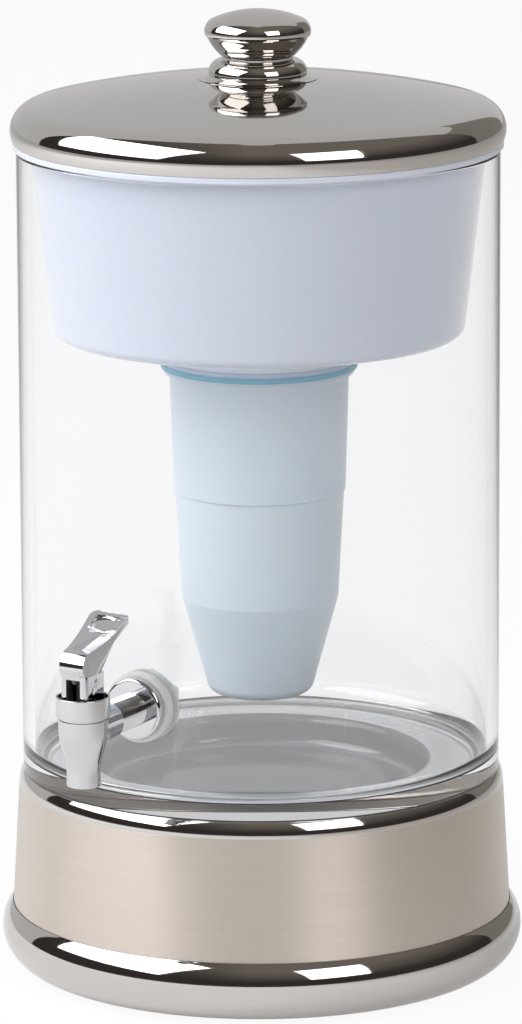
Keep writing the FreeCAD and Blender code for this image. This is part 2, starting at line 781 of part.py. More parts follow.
def make_tap_body():
    """Spout with its chamber, and the shank that passes through the jar's wall."""
    body = new_body("tap_body")
    spin(body, "spout_turn", [
        ("spout_bore_radius", "-spout_drop"),
        ("spout_radius", "-spout_drop"),
        ("spout_foot_radius", "spout_lip - spout_drop", "-spout_bend"),
        ("body_waist_radius", "-body_waist_drop", "body_taper_bend"),
        ("body_shoulder_radius", "-body_shoulder_drop"),
        ("body_ledge_radius", "body_ledge"),
        ("body_top_radius", "body_ledge"),
        ("body_top_radius", "body_top"),
        ("cup_rim_radius + cup_rim_gap", "body_top"),
        ("cup_rim_radius + cup_rim_gap", "body_top - cup_rim_thickness"),
        ("chamber_radius", "body_top - cup_rim_thickness"),
        ("chamber_radius", "-valve_seat_drop"),
        ("throat_radius", "-valve_seat_drop"),
        ("throat_radius", "-valve_seat_drop - throat_length"),
        ("spout_bore_radius", "-valve_seat_drop - throat_length"),
    ])
    spin(body, "shank_turn", [
        ("chamber_radius + media_gap", "0"),
        ("shank_length", "0"),
        ("shank_length", "shank_radius"),
        ("shank_neck_length", "shank_radius"),
        ("shank_neck_length", "shank_neck_radius"),
        ("chamber_radius + media_gap", "shank_neck_radius"),
    ], role="YZ_Plane", axis="H_Axis")
    spin(body, "bonnet_groove", [
        ("body_top_radius", "body_ledge"),
        ("bonnet_radius + lever_gap", "body_ledge"),
        ("bonnet_radius + lever_gap", "body_top"),
        ("body_top_radius", "body_top"),
    ], kind="Groove")
    bore = draw(body, "XZ_Plane", "shank_bore_outline", circles=[("0", "0", "shank_bore_radius")])
    extrude(body, "Pocket", "shank_bore", bore, "shank_length + shank_end")
    place(body, "tap_level", "tap_reach")


def make_tap_fixings():
    """Chrome flange outside the jar and plastic nut inside it, on the shank."""
    flange = turned("tap_flange", [
        ("shank_radius + running_gap", "0"),
        ("tap_flange_radius", "0"),
        ("tap_flange_radius", "tap_flange_thickness"),
        ("shank_radius + running_gap", "tap_flange_thickness"),
    ])
    round_off(flange, "flange_edge", "tap_flange_bend", rims(("tap_flange_radius", "tap_flange_thickness")))
    place(flange, "tap_level", "flange_back", OUTWARD)
    nut = new_body("tap_nut")
    prism = nut.newObject("PartDesign::AdditivePrism", "nut_prism")
    prism.Polygon = SIZES["nut_sides"]
    prism.setExpression("Circumradius", bind("nut_radius"))
    prism.setExpression("Height", bind("nut_height"))
    far_end = number("nut_height")
    round_off(nut, "nut_edge", "nut_bend",
              lambda edge: all(abs(corner.Z - far_end) < NEAR for corner in edge.Vertexes))
    bore = draw(nut, "XY_Plane", "nut_bore_outline", circles=[("0", "0", "shank_radius + running_gap")])
    extrude(nut, "Pocket", "nut_bore", bore, "nut_height", backwards=True)
    place(nut, "tap_level", "nut_face", INWARD * CORNER_UP)


def make_cylinder(label, radius, length, up, outward="0", turn=FreeCAD.Rotation()):
    """Plain cylinder, for a round bar or as a tool of a cut."""
    cylinder = document.addObject("Part::Cylinder", label)
    cylinder.setExpression("Radius", bind(radius))
    cylinder.setExpression("Height", bind(length))
    place(cylinder, up, outward, turn)
    return cylinder


def make_tap_washer(label, length, outward, operation, wall_radius):
    """Soft ring on the shank with one face shaped to the jar's round wall."""
    disc = make_cylinder(label + "_disc", "washer_radius", length, "tap_level", outward, OUTWARD)
    bore = make_cylinder(label + "_bore", "shank_radius + running_gap", length,
                         "tap_level", outward, OUTWARD)
    ring = document.addObject("Part::Cut", label + "_ring")
    ring.Base = disc
    ring.Tool = bore
    wall = make_cylinder(label + "_wall", wall_radius, "jar_height", "seat_height")
    washer = document.addObject("Part::" + operation, label)
    washer.Base = ring
    washer.Tool = wall
    nodes.append(washer)


def make_tap_washers():
    """One ring outside the jar's wall and one inside it."""
    make_tap_washer("tap_outer_washer", "seal_wrap + outer_washer_thickness",
                    "jar_radius - seal_wrap", "Cut", "jar_radius + seal_gap")
    make_tap_washer("tap_inner_washer", "inner_washer_thickness",
                    "nut_face", "Common", "jar_inner_radius - seal_gap")


def make_tap_bonnet():
    """Round cap screwed over the body's top, recessed above for the lever."""
    body = turned("tap_bonnet", [
        ("body_top_radius + running_gap", "body_top - bonnet_skirt"),
        ("bonnet_radius", "body_top - bonnet_skirt"),
        ("bonnet_radius", "recess_floor + bonnet_recess_depth"),
        ("bonnet_recess_radius", "recess_floor + bonnet_recess_depth"),
        ("bonnet_recess_radius", "recess_floor"),
        ("stem_radius + running_gap", "recess_floor"),
        ("stem_radius + running_gap", "body_top"),
        ("body_top_radius + running_gap", "body_top"),
    ])
    round_off(body, "bonnet_edge", "bonnet_bend", rims(("bonnet_radius", "body_top - bonnet_skirt")))
    place(body, "tap_level", "tap_reach")


def make_tap_seat_cup():
    """Silicone bell: its rim is clamped below the bonnet, its nose shuts the throat."""
    body = turned("tap_seat_cup", [
        ("0", "-valve_seat_drop"),
        ("seat_nose_radius", "-valve_seat_drop"),
        ("seat_nose_radius", "seat_nose_height - valve_seat_drop"),
        ("seat_bell_radius", "seat_bell_height - valve_seat_drop"),
        ("seat_bell_radius", "body_top - cup_rim_thickness"),
        ("cup_rim_radius", "body_top - cup_rim_thickness"),
        ("cup_rim_radius", "body_top"),
        ("seat_cavity_radius", "body_top"),
        ("seat_cavity_radius", "knob_neck_low + stem_neck_height"),
        ("stem_radius + running_gap", "knob_neck_low + stem_neck_height"),
        ("stem_radius + running_gap", "knob_neck_low"),
        ("stem_knob_radius + running_gap", "knob_neck_low"),
        ("stem_knob_radius + running_gap", "cup_floor_level"),
        ("0", "cup_floor_level"),
    ])
    place(body, "tap_level", "tap_reach")


def make_tap_stem():
    """Round stem with a knob in the seat cup and a domed, cross-drilled head."""
    body = turned("tap_stem", [
        ("0", "cup_floor_level"),
        ("stem_knob_radius", "cup_floor_level"),
        ("stem_knob_radius", "knob_neck_low"),
        ("stem_radius", "knob_neck_low"),
        ("stem_radius", "pin_level", "stem_radius"),
        ("0", "pin_level + stem_radius"),
    ])
    hole = draw(body, "YZ_Plane", "pin_hole_outline", circles=[
        ("0", "pin_level", "pin_radius + running_gap"),
    ])
    extrude(body, "Pocket", "pin_hole", hole, "4 * stem_radius", side="Symmetric")
    place(body, "tap_level", "tap_reach")


def make_tap_lever():
    """Cast lever: slotted block on the bonnet, raked strap and dished thumb paddle."""
    body = new_body("tap_lever")
    side = draw(body, "YZ_Plane", "handle_outline", [[
        ("web_back", "lever_block_top"),
        ("-lever_block_depth / 2", "lever_block_top"),
        ("-lever_block_depth / 2 - nose_reach", "lever_block_top + nose_height", "-nose_bend"),
        ("-strap_start", "lever_block_top + strap_height", "strap_bend"),
        ("paddle_reach", "lever_block_top + paddle_height"),
        ("paddle_reach", "lever_block_top + paddle_height - paddle_thickness"),
        ("web_reach", "lever_block_top + web_height"),
    ]])
    extrude(body, "Pad", "handle", side, "paddle_width", side="Symmetric")
    plan = draw(body, "XY_Plane", "trim_outline", [
        [
            ("-paddle_width", "-lever_block_depth"),
            ("paddle_width", "-lever_block_depth"),
            ("paddle_width", "paddle_reach + paddle_width"),
            ("-paddle_width", "paddle_reach + paddle_width"),
        ],
        [
            ("-strap_width / 2", "nose_reach - lever_block_depth"),
            ("strap_width / 2", "nose_reach - lever_block_depth"),
            ("strap_width / 2", "-strap_start"),
            ("paddle_width / 2", "paddle_reach - paddle_corner", "paddle_corner"),
            ("paddle_width / 2 - paddle_corner", "paddle_reach"),
            ("paddle_corner - paddle_width / 2", "paddle_reach", "paddle_corner"),
            ("-paddle_width / 2", "paddle_reach - paddle_corner"),
            ("-strap_width / 2", "-strap_start"),
        ],
    ])
    extrude(body, "Pocket", "handle_trim", plan, "lever_block_top + paddle_height + nose_height",
            backwards=True)
    block = draw(body, "XY_Plane", "block_outline", [[
        ("lever_block_bend - lever_block_width / 2", "-lever_block_depth / 2"),
        ("lever_block_width / 2 - lever_block_bend", "-lever_block_depth / 2", "lever_block_bend"),
        ("lever_block_width / 2", "lever_block_bend - lever_block_depth / 2"),
        ("lever_block_width / 2", "lever_block_depth / 2 - lever_block_bend", "lever_block_bend"),
        ("lever_block_width / 2 - lever_block_bend", "lever_block_depth / 2"),
        ("lever_block_bend - lever_block_width / 2", "lever_block_depth / 2", "lever_block_bend"),
        ("-lever_block_width / 2", "lever_block_depth / 2 - lever_block_bend"),
        ("-lever_block_width / 2", "lever_block_bend - lever_block_depth / 2", "lever_block_bend"),
    ]])
    extrude(body, "Pad", "block", block, "lever_block_top")
    under = draw(body, "YZ_Plane", "under_outline", [[
        ("-lever_block_depth", "-lever_gap"),
        ("lever_block_depth", "-lever_gap"),
        ("lever_block_depth", "lever_bottom + lever_heel_bend"),
        ("lever_block_depth / 2", "lever_bottom + lever_heel_bend", "-lever_heel_bend"),
        ("lever_block_depth / 2 - lever_heel_bend", "lever_bottom"),
        ("lever_toe_bend - lever_block_depth / 2", "lever_bottom", "-lever_toe_bend"),
        ("-lever_block_depth / 2", "lever_bottom + lever_toe_bend"),
        ("-lever_block_depth", "lever_bottom + lever_toe_bend"),
    ]])
    extrude(body, "Pocket", "block_under", under, "2 * lever_block_width", side="Symmetric")
    slot = draw(body, "YZ_Plane", "stem_slot_outline", [[
        ("-lever_block_depth", "lever_bottom - lever_gap"),
        ("stem_radius + 2 * lever_gap", "lever_bottom - lever_gap"),
        ("stem_radius + 2 * lever_gap", "pin_level + stem_radius + lever_gap"),
        ("-lever_block_depth", "pin_level + stem_radius + lever_gap"),
    ]])
    extrude(body, "Pocket", "stem_slot", slot, "2 * (stem_radius + lever_slot_gap)", side="Symmetric")
    hole = draw(body, "YZ_Plane", "lever_pin_outline", circles=[("0", "pin_level", "pin_radius")])
    extrude(body, "Pocket", "lever_pin_hole", hole, "2 * lever_block_width", side="Symmetric")
    thumb = body.newObject("PartDesign::SubtractiveEllipsoid", "thumb_recess")
    slope = FreeCAD.Rotation(ACROSS, number("thumb_slope"))
    thumb.Placement = FreeCAD.Placement(FreeCAD.Vector(), slope)
    for setting, formula in (
        ("Radius1", "thumb_depth"),
        ("Radius2", "thumb_width / 2"),
        ("Radius3", "thumb_length / 2"),
        ("Placement.Base.y", "paddle_reach - thumb_back"),
        ("Placement.Base.z", "lever_block_top + paddle_height - thumb_drop"),
        ("Placement.Rotation.Angle", "thumb_slope"),
    ):
        thumb.setExpression(setting, bind(formula))
    place(body, "tap_level", "tap_reach")


def make_lever_pin():
    """Cross pin through the lever's block and the stem's head."""
    pin = make_cylinder("lever_pin", "pin_radius", "lever_block_width",
                        "tap_level + pin_level", "tap_reach", SIDEWAYS)
    pin.setExpression("Placement.Base.x", bind("-lever_block_width / 2"))
    nodes.append(pin)


def check(pieces):
    """Stop if any object failed or any piece is not one valid solid."""
    failed = [item.Label for item in document.Objects if {"Invalid", "Error"} & set(item.State)]
    if failed:
        raise RuntimeError("failed objects: " + ", ".join(failed))
    for piece in pieces:
        shape = piece.Shape
        if shape.isNull() or not shape.isValid() or len(shape.Solids) != 1:
            raise RuntimeError("bad solid: " + piece.Label)


make_stand_skirt()
make_stand_foot()
make_foot_pad()
make_stand_dish()
make_glass_jar()
make_reservoir()
make_filter_shells()
make_filter_cap()
make_filter_media()
make_lid_shell()
make_lid_knob()
make_knob_fixing()
make_tap_body()
make_tap_fixings()
make_tap_washers()
make_tap_bonnet()
make_tap_seat_cup()
make_tap_stem()
make_tap_lever()
make_lever_pin()
document.recompute()
check(nodes)

os.makedirs("parts", exist_ok=True)
for node in nodes:
    node.Shape.exportStep(f"parts/{node.Label}.step")
    print(f"{node.Label:18s} {node.Shape.Volume:12.1f} mm3")
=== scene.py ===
"""Looks of a gravity water filter: glass jar on a steel stand, hanging reservoir
and filter, domed lid, lever tap. Outlines are in millimetres, objects in metres."""
import math

import bmesh
import bpy
from mathutils import Matrix, Vector


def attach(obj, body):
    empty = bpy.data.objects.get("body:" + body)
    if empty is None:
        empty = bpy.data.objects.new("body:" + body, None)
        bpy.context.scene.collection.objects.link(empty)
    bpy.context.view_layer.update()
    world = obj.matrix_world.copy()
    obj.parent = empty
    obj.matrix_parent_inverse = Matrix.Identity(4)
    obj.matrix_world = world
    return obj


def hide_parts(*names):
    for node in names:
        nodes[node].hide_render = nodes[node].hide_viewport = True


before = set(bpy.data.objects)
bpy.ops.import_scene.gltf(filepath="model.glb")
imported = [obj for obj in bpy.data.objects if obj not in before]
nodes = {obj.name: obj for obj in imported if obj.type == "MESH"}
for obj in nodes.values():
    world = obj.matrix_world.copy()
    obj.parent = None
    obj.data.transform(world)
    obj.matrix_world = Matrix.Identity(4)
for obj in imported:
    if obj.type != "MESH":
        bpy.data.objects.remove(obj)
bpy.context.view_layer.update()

MM = 0.001

# Levels and radii of the outlines, in millimetres
SHEET = 0.8
SEAT = 93.0
LIP_LEVEL = 98.2
MOUTH = 113.387
SKIRT_TOP = 117.187
SKIRT_LOW = 120.787
SHOULDER_LEVEL = 89.893
SHOULDER_INNER_LEVEL = 96.882
SHOULDER_BEND = 13.0
FOOT_CENTRE = 108.487
FOOT_BEND = 17.5
CREASE = 30.649
CREASE_INNER = 29.486
PAD = 0.8
GAP = 0.1
LEDGE = 4.0
DISH_FLOOR = SEAT - 16
DISH_STEP = SEAT - 13.6
JAR_RADIUS = 115.0
JAR_BORE = 109.4
JAR_RIM = 398.9
JAR_HEIGHT = 305.9
JAR_BASE = 11.0
JAR_FOOT_BEND = 4.5
JAR_RIM_BEND = 1.8
JAR_FLOOR_BEND = 8.0
TAP_HOLE = 8.5
TUB_TOP = 3.2
TUB_RIDGE = 5.4
TUB_FLOOR = -89.6
COLLAR_LOW = -102.0
TAP_LEVEL = 150.3
TAP_REACH = 167.7
PIN_LEVEL = 172.5
FILTER_LEVEL = 296.9
FILTER_JOINT = -64.1
FILTER_BOTTOM = -163.9
GASKET_LOW = -4.5
GASKET_LIP = -1.9
LID_LEVEL = 402.1
DOME_BEND = 473.03
DOME_CENTRE = -442.83
ROLL = 12.5
ROLL_RADIUS = 105.3
ROLL_LEVEL = 5.5
KNOB_LEVEL = 432.3
SCREW_HOLE = 2.7


# Meshes

def trace(points, step=math.radians(3.0)):
    """Points of a closed outline; a third number bends the way to the next point."""
    path = []
    for index, point in enumerate(points):
        start = Vector(point[:2])
        end = Vector(points[(index + 1) % len(points)][:2])
        path.append(start)
        if len(point) < 3:
            continue
        bend = point[2]
        chord = end - start
        rise = math.sqrt(max(bend * bend - chord.length_squared / 4, 0.0))
        side = Vector((-chord.y, chord.x)).normalized() * math.copysign(1, bend)
        centre = (start + end) / 2 + side * rise
        first = math.atan2(start.y - centre.y, start.x - centre.x)
        last = math.atan2(end.y - centre.y, end.x - centre.x)
        sweep = (last - first + math.pi) % (2 * math.pi) - math.pi
        count = max(2, math.ceil(abs(sweep) / step), math.ceil(abs(bend * sweep) / 6))
        for piece in range(1, count):
            angle = first + sweep * piece / count
            path.append(centre + Vector((math.cos(angle), math.sin(angle))) * abs(bend))
    return path


def new_object(name, mesh):
    """An object at the origin that shows this mesh."""
    piece = bpy.data.objects.new(name, mesh)
    bpy.context.scene.collection.objects.link(piece)
    return piece


def settle(piece, sharp=28.0):
    """Face the surface outward and shade it smooth between sharp creases."""
    mesh = piece.data
    work = bmesh.new()
    work.from_mesh(mesh)
    bmesh.ops.remove_doubles(work, verts=work.verts, dist=1e-7)
    bmesh.ops.recalc_face_normals(work, faces=work.faces)
    work.to_mesh(mesh)
    work.free()
    mesh.shade_smooth()
    mesh.set_sharp_from_angle(angle=math.radians(sharp))
    return piece


def lathe(name, points, level=0.0, turns=256, sharp=28.0, place=None):
    """Turn a closed outline of (radius, height) about the upright axis."""
    path = trace(points)
    work = bmesh.new()
    rings = []
    for spot in path:
        height = (spot.y + level) * MM
        if spot.x < 1e-6:
            rings.append([work.verts.new((0, 0, height))])
            continue
        rings.append([
            work.verts.new((
                spot.x * MM * math.sin(2 * math.pi * turn / turns),
                -spot.x * MM * math.cos(2 * math.pi * turn / turns),
                height,
            ))
            for turn in range(turns)
        ])
    for index, ring in enumerate(rings):
        after = rings[(index + 1) % len(rings)]
        if len(ring) == 1 and len(after) == 1:
            continue
        for turn in range(turns):
            follow = (turn + 1) % turns
            corners = [ring[turn % len(ring)], ring[follow % len(ring)],
                       after[follow % len(after)], after[turn % len(after)]]
            work.faces.new(list(dict.fromkeys(corners)))
    mesh = bpy.data.meshes.new(name)
    work.to_mesh(mesh)
    work.free()
    if place is not None:
        mesh.transform(place)
    return settle(new_object(name, mesh), sharp)


def screw_thread(name, root, crest, pitch, low, high, turns, place):
    """Solid screw whose single thread climbs by one pitch a turn."""
    rows = math.ceil((high - low) / pitch * 8)
    work = bmesh.new()
    rings = []
    for row in range(rows + 1):
        along = low + (high - low) * row / rows
        ring = []
        for turn in range(turns):
            share = (along / pitch + turn / turns) % 1.0
            radius = root + (crest - root) * min(1.0, 1.25 * (1.0 - abs(2.0 * share - 1.0)))
            angle = 2 * math.pi * turn / turns
            ring.append(work.verts.new((
                radius * MM * math.sin(angle), -radius * MM * math.cos(angle), along * MM)))
        rings.append(ring)
    for ring, after in zip(rings, rings[1:]):
        for turn in range(turns):
            follow = (turn + 1) % turns
            work.faces.new([ring[turn], ring[follow], after[follow], after[turn]])
    work.faces.new(rings[0])
    work.faces.new(rings[-1][::-1])
    mesh = bpy.data.meshes.new(name)
    work.to_mesh(mesh)
    work.free()
    mesh.transform(place)
    return settle(new_object(name, mesh))


def slab(name, outline, low, high, place=None):
    """Extrude a closed outline of (across, up) between two depths."""
    path = trace(outline)
    work = bmesh.new()
    near = [work.verts.new((spot.x * MM, spot.y * MM, low * MM)) for spot in path]
    far = [work.verts.new((spot.x * MM, spot.y * MM, high * MM)) for spot in path]
    work.faces.new(near[::-1])
    work.faces.new(far)
    for index in range(len(path)):
        after = (index + 1) % len(path)
        work.faces.new([near[index], near[after], far[after], far[index]])
    mesh = bpy.data.meshes.new(name)
    work.to_mesh(mesh)
    work.free()
    if place is not None:
        mesh.transform(place)
    return settle(new_object(name, mesh))


def apply_modifiers(piece):
    """Bake the modifiers of a piece into its mesh."""
    bpy.context.view_layer.update()
    graph = bpy.context.evaluated_depsgraph_get()
    mesh = bpy.data.meshes.new_from_object(piece.evaluated_get(graph))
    piece.modifiers.clear()
    piece.data = mesh


def combine(piece, tool, operation):
    """Cut, join or intersect a piece with a tool, which is then thrown away."""
    modifier = piece.modifiers.new("combine", "BOOLEAN")
    modifier.operation = operation
    modifier.solver = "EXACT"
    modifier.object = tool
    apply_modifiers(piece)
    bpy.data.objects.remove(tool)
    return settle(piece)


def soften(piece, width, segments=3, angle=35.0):
    """Round the sharp edges of a piece a little."""
    modifier = piece.modifiers.new("soften", "BEVEL")
    modifier.width = width * MM
    modifier.segments = segments
    modifier.limit_method = "ANGLE"
    modifier.angle_limit = math.radians(angle)
    modifier.harden_normals = False
    apply_modifiers(piece)
    return settle(piece, 40.0)


AT_TAP = Matrix.Translation((0, -TAP_REACH * MM, TAP_LEVEL * MM))
# Local height of a lathe outline runs from the jar's axis out along the shank
ALONG_SHANK = Matrix.Translation((0, 0, TAP_LEVEL * MM)) @ Matrix.Rotation(math.pi / 2, 4, "X")
# Outline (across, up) is (y, z) of the tap, extruded along x
TAP_SIDE = AT_TAP @ Matrix(((0, 0, 1, 0), (1, 0, 0, 0), (0, 1, 0, 0), (0, 0, 0, 1)))


# Materials

def make_group(name, inputs, outputs, build):
    """A shared surface effect with named values in and out."""
    group = bpy.data.node_groups.new(name, "ShaderNodeTree")
    for label, value in inputs:
        kind = "NodeSocketColor" if isinstance(value, tuple) else "NodeSocketFloat"
        socket = group.interface.new_socket(label, in_out="INPUT", socket_type=kind)
        socket.default_value = value
    for label, kind in outputs:
        group.interface.new_socket(label, in_out="OUTPUT", socket_type=kind)
    build(group, group.nodes.new("NodeGroupInput"), group.nodes.new("NodeGroupOutput"))
    return group


def add(tree, kind, values=None, **settings):
    """A node with its settings and its input values."""
    node = tree.nodes.new(kind)
    for key, value in settings.items():
        setattr(node, key, value)
    for key, value in (values or {}).items():
        node.inputs[key].default_value = value
    return node


def scaled(tree, scale):
    """Coordinates of the piece itself, stretched by a scale."""
    place = add(tree, "ShaderNodeTexCoord")
    mapping = add(tree, "ShaderNodeMapping", {"Scale": scale})
    tree.links.new(place.outputs["Object"], mapping.inputs["Vector"])
    return mapping.outputs["Vector"]


def build_brushing(group, given, sent):
    """Fine lines that run round the piece, as a belt leaves them."""
    link = group.links.new
    fine = add(group, "ShaderNodeTexNoise", {"Scale": 1.0, "Detail": 3.0, "Roughness": 0.7})
    link(scaled(group, (14, 14, 5200)), fine.inputs["Vector"])
    broad = add(group, "ShaderNodeTexNoise", {"Scale": 1.0, "Detail": 2.0})
    link(scaled(group, (7, 7, 900)), broad.inputs["Vector"])
    both = add(group, "ShaderNodeMix", {"Factor": 0.35}, data_type="FLOAT")
    link(fine.outputs["Fac"], both.inputs["A"])
    link(broad.outputs["Fac"], both.inputs["B"])
    centred = add(group, "ShaderNodeMath", {1: 0.5}, operation="SUBTRACT")
    link(both.outputs["Result"], centred.inputs[0])
    rough = add(group, "ShaderNodeMath", operation="MULTIPLY_ADD")
    link(centred.outputs[0], rough.inputs[0])
    link(given.outputs["Spread"], rough.inputs[1])
    link(given.outputs["Roughness"], rough.inputs[2])
    link(rough.outputs[0], sent.inputs["Roughness"])
    shade = add(group, "ShaderNodeMath", operation="MULTIPLY_ADD")
    link(centred.outputs[0], shade.inputs[0])
    link(given.outputs["Shade"], shade.inputs[1])
    shade.inputs[2].default_value = 1.0
    tint = add(group, "ShaderNodeMix", {"Factor": 1.0}, data_type="RGBA", blend_type="MULTIPLY")
    link(given.outputs["Colour"], tint.inputs["A"])
    link(shade.outputs[0], tint.inputs["B"])
    link(tint.outputs["Result"], sent.inputs["Colour"])
    link(both.outputs["Result"], sent.inputs["Height"])


def build_handling(group, given, sent):
    """Faint wipe marks and dulled patches on a smooth surface."""
    link = group.links.new
    cloud = add(group, "ShaderNodeTexNoise", {"Detail": 4.0, "Roughness": 0.6})
    link(scaled(group, (1, 1, 1)), cloud.inputs["Vector"])
    link(given.outputs["Scale"], cloud.inputs["Scale"])
    spread = add(group, "ShaderNodeMapRange", {"From Min": 0.35, "From Max": 0.75})
    link(cloud.outputs["Fac"], spread.inputs["Value"])
    link(given.outputs["Low"], spread.inputs["To Min"])
    link(given.outputs["High"], spread.inputs["To Max"])
    link(spread.outputs["Result"], sent.inputs["Roughness"])


def build_grains(group, given, sent):
    """Packed grains or beads, each with its own shade."""
    link = group.links.new
    cells = add(group, "ShaderNodeTexVoronoi", {"Randomness": 1.0})
    link(scaled(group, (1, 1, 1)), cells.inputs["Vector"])
    link(given.outputs["Scale"], cells.inputs["Scale"])
    mono = add(group, "ShaderNodeSeparateColor")
    link(cells.outputs["Color"], mono.inputs["Color"])
    tint = add(group, "ShaderNodeMix", data_type="RGBA")
    link(mono.outputs["Red"], tint.inputs["Factor"])
    link(given.outputs["Dark"], tint.inputs["A"])
    link(given.outputs["Light"], tint.inputs["B"])
    link(tint.outputs["Result"], sent.inputs["Colour"])
    height = add(group, "ShaderNodeMath", {0: 1.0}, operation="SUBTRACT")
    link(cells.outputs["Distance"], height.inputs[1])
    link(height.outputs[0], sent.inputs["Height"])


def build_mottle(group, given, sent):
    """Slow change of colour through moulded plastic or rubber, with a fine skin."""
    link = group.links.new
    cloud = add(group, "ShaderNodeTexNoise", {"Detail": 3.0})
    link(scaled(group, (1, 1, 0.6)), cloud.inputs["Vector"])
    link(given.outputs["Scale"], cloud.inputs["Scale"])
    tint = add(group, "ShaderNodeMix", data_type="RGBA")
    link(cloud.outputs["Fac"], tint.inputs["Factor"])
    link(given.outputs["Dark"], tint.inputs["A"])
    link(given.outputs["Light"], tint.inputs["B"])
    link(tint.outputs["Result"], sent.inputs["Colour"])
    skin = add(group, "ShaderNodeTexNoise", {"Scale": 1.0, "Detail": 2.0})
    link(scaled(group, (2400, 2400, 2400)), skin.inputs["Vector"])
    link(skin.outputs["Fac"], sent.inputs["Height"])


def build_turning(group, given, sent):
    """Fine rings round the upright axis, broken up by a slow swirl."""
    link = group.links.new
    place = add(group, "ShaderNodeTexCoord")
    flat = add(group, "ShaderNodeVectorMath", {1: (1, 1, 0)}, operation="MULTIPLY")
    link(place.outputs["Object"], flat.inputs[0])
    reach = add(group, "ShaderNodeVectorMath", operation="LENGTH")
    link(flat.outputs["Vector"], reach.inputs[0])
    count = add(group, "ShaderNodeMath", operation="MULTIPLY")
    link(reach.outputs["Value"], count.inputs[0])
    link(given.outputs["Rings"], count.inputs[1])
    lines = add(group, "ShaderNodeTexNoise", {"Scale": 1.0, "Detail": 3.0}, noise_dimensions="1D")
    link(count.outputs[0], lines.inputs["W"])
    swirl = add(group, "ShaderNodeTexNoise", {"Scale": 14.0, "Detail": 3.0, "Distortion": 2.5})
    link(scaled(group, (1, 0.45, 1)), swirl.inputs["Vector"])
    both = add(group, "ShaderNodeMix", {"Factor": 0.45}, data_type="FLOAT")
    link(lines.outputs["Fac"], both.inputs["A"])
    link(swirl.outputs["Fac"], both.inputs["B"])
    spread = add(group, "ShaderNodeMapRange", {"From Min": 0.35, "From Max": 0.65})
    link(both.outputs["Result"], spread.inputs["Value"])
    link(given.outputs["Low"], spread.inputs["To Min"])
    link(given.outputs["High"], spread.inputs["To Max"])
    link(spread.outputs["Result"], sent.inputs["Roughness"])
    shade = add(group, "ShaderNodeMapRange", {
        "From Min": 0.35, "From Max": 0.65, "To Min": 0.75, "To Max": 1.25})
    link(both.outputs["Result"], shade.inputs["Value"])
    link(shade.outputs["Result"], sent.inputs["Shade"])
    link(both.outputs["Result"], sent.inputs["Height"])


COLOUR = "NodeSocketColor"
NUMBER = "NodeSocketFloat"
brushing = make_group(
    "brushing", [("Colour", (0.6, 0.57, 0.53, 1)), ("Roughness", 0.3), ("Spread", 0.2), ("Shade", 0.1)],
    [("Colour", COLOUR), ("Roughness", NUMBER), ("Height", NUMBER)], build_brushing)
turning = make_group(
    "turning", [("Rings", 400.0), ("Low", 0.1), ("High", 0.3)],
    [("Roughness", NUMBER), ("Shade", NUMBER), ("Height", NUMBER)], build_turning)
handling = make_group(
    "handling", [("Scale", 20.0), ("Low", 0.04), ("High", 0.1)],
    [("Roughness", NUMBER)], build_handling)
grains = make_group(
    "grains", [("Scale", 900.0), ("Dark", (0.02, 0.02, 0.02, 1)), ("Light", (0.1, 0.1, 0.1, 1))],
    [("Colour", COLOUR), ("Height", NUMBER)], build_grains)
mottle = make_group(
    "mottle", [("Scale", 12.0), ("Dark", (0.7, 0.7, 0.7, 1)), ("Light", (0.8, 0.8, 0.8, 1))],
    [("Colour", COLOUR), ("Height", NUMBER)], build_mottle)


def new_material(name, **sockets):
    """A material with one Principled shader, and its plain values set."""
    material = bpy.data.materials.new(name)
    material.use_nodes = True
    shader = material.node_tree.nodes["Principled BSDF"]
    for key, value in sockets.items():
        shader.inputs[key.replace("_", " ")].default_value = value
    return material, material.node_tree, shader


def use_group(tree, group, values):
    """Place a shared effect in a material with its own values."""
    node = tree.nodes.new("ShaderNodeGroup")
    node.node_tree = group
    for key, value in values.items():
        node.inputs[key].default_value = value
    return node


def bump(tree, shader, height, strength, distance):
    """Feed a height into the shader's normal."""
    node = add(tree, "ShaderNodeBump", {"Strength": strength, "Distance": distance})
    tree.links.new(height, node.inputs["Height"])
    tree.links.new(node.outputs["Normal"], shader.inputs["Normal"])


def blend(tree, factor, first, second):
    """Change from one colour to another as a factor rises from nought to one."""
    tint = add(tree, "ShaderNodeMix", {"A": (*first, 1), "B": (*second, 1)}, data_type="RGBA")
    tree.links.new(factor, tint.inputs["Factor"])
    return tint


def polished_metal(name, colour, low, high, scale=22.0, metallic=1.0):
    """Mirror-bright metal with faint wipe marks."""
    material, tree, shader = new_material(name, Base_Color=(*colour, 1), Metallic=metallic)
    marks = use_group(tree, handling, {"Scale": scale, "Low": low, "High": high})
    tree.links.new(marks.outputs["Roughness"], shader.inputs["Roughness"])
    return material


def brushed_metal(name, colour):
    """Belt-brushed steel, its lines running round the skirt."""
    material, tree, shader = new_material(name, Metallic=1.0, Anisotropic=0.8,
                                         Anisotropic_Rotation=0.25)
    lines = use_group(tree, brushing, {
        "Colour": (*colour, 1), "Roughness": 0.36, "Spread": 0.35, "Shade": 0.28})
    tree.links.new(lines.outputs["Colour"], shader.inputs["Base Color"])
    tree.links.new(lines.outputs["Roughness"], shader.inputs["Roughness"])
    bump(tree, shader, lines.outputs["Height"], 0.12, 0.00008)
    tangent = add(tree, "ShaderNodeTangent", direction_type="RADIAL", axis="Z")
    tree.links.new(tangent.outputs["Tangent"], shader.inputs["Tangent"])
    return material


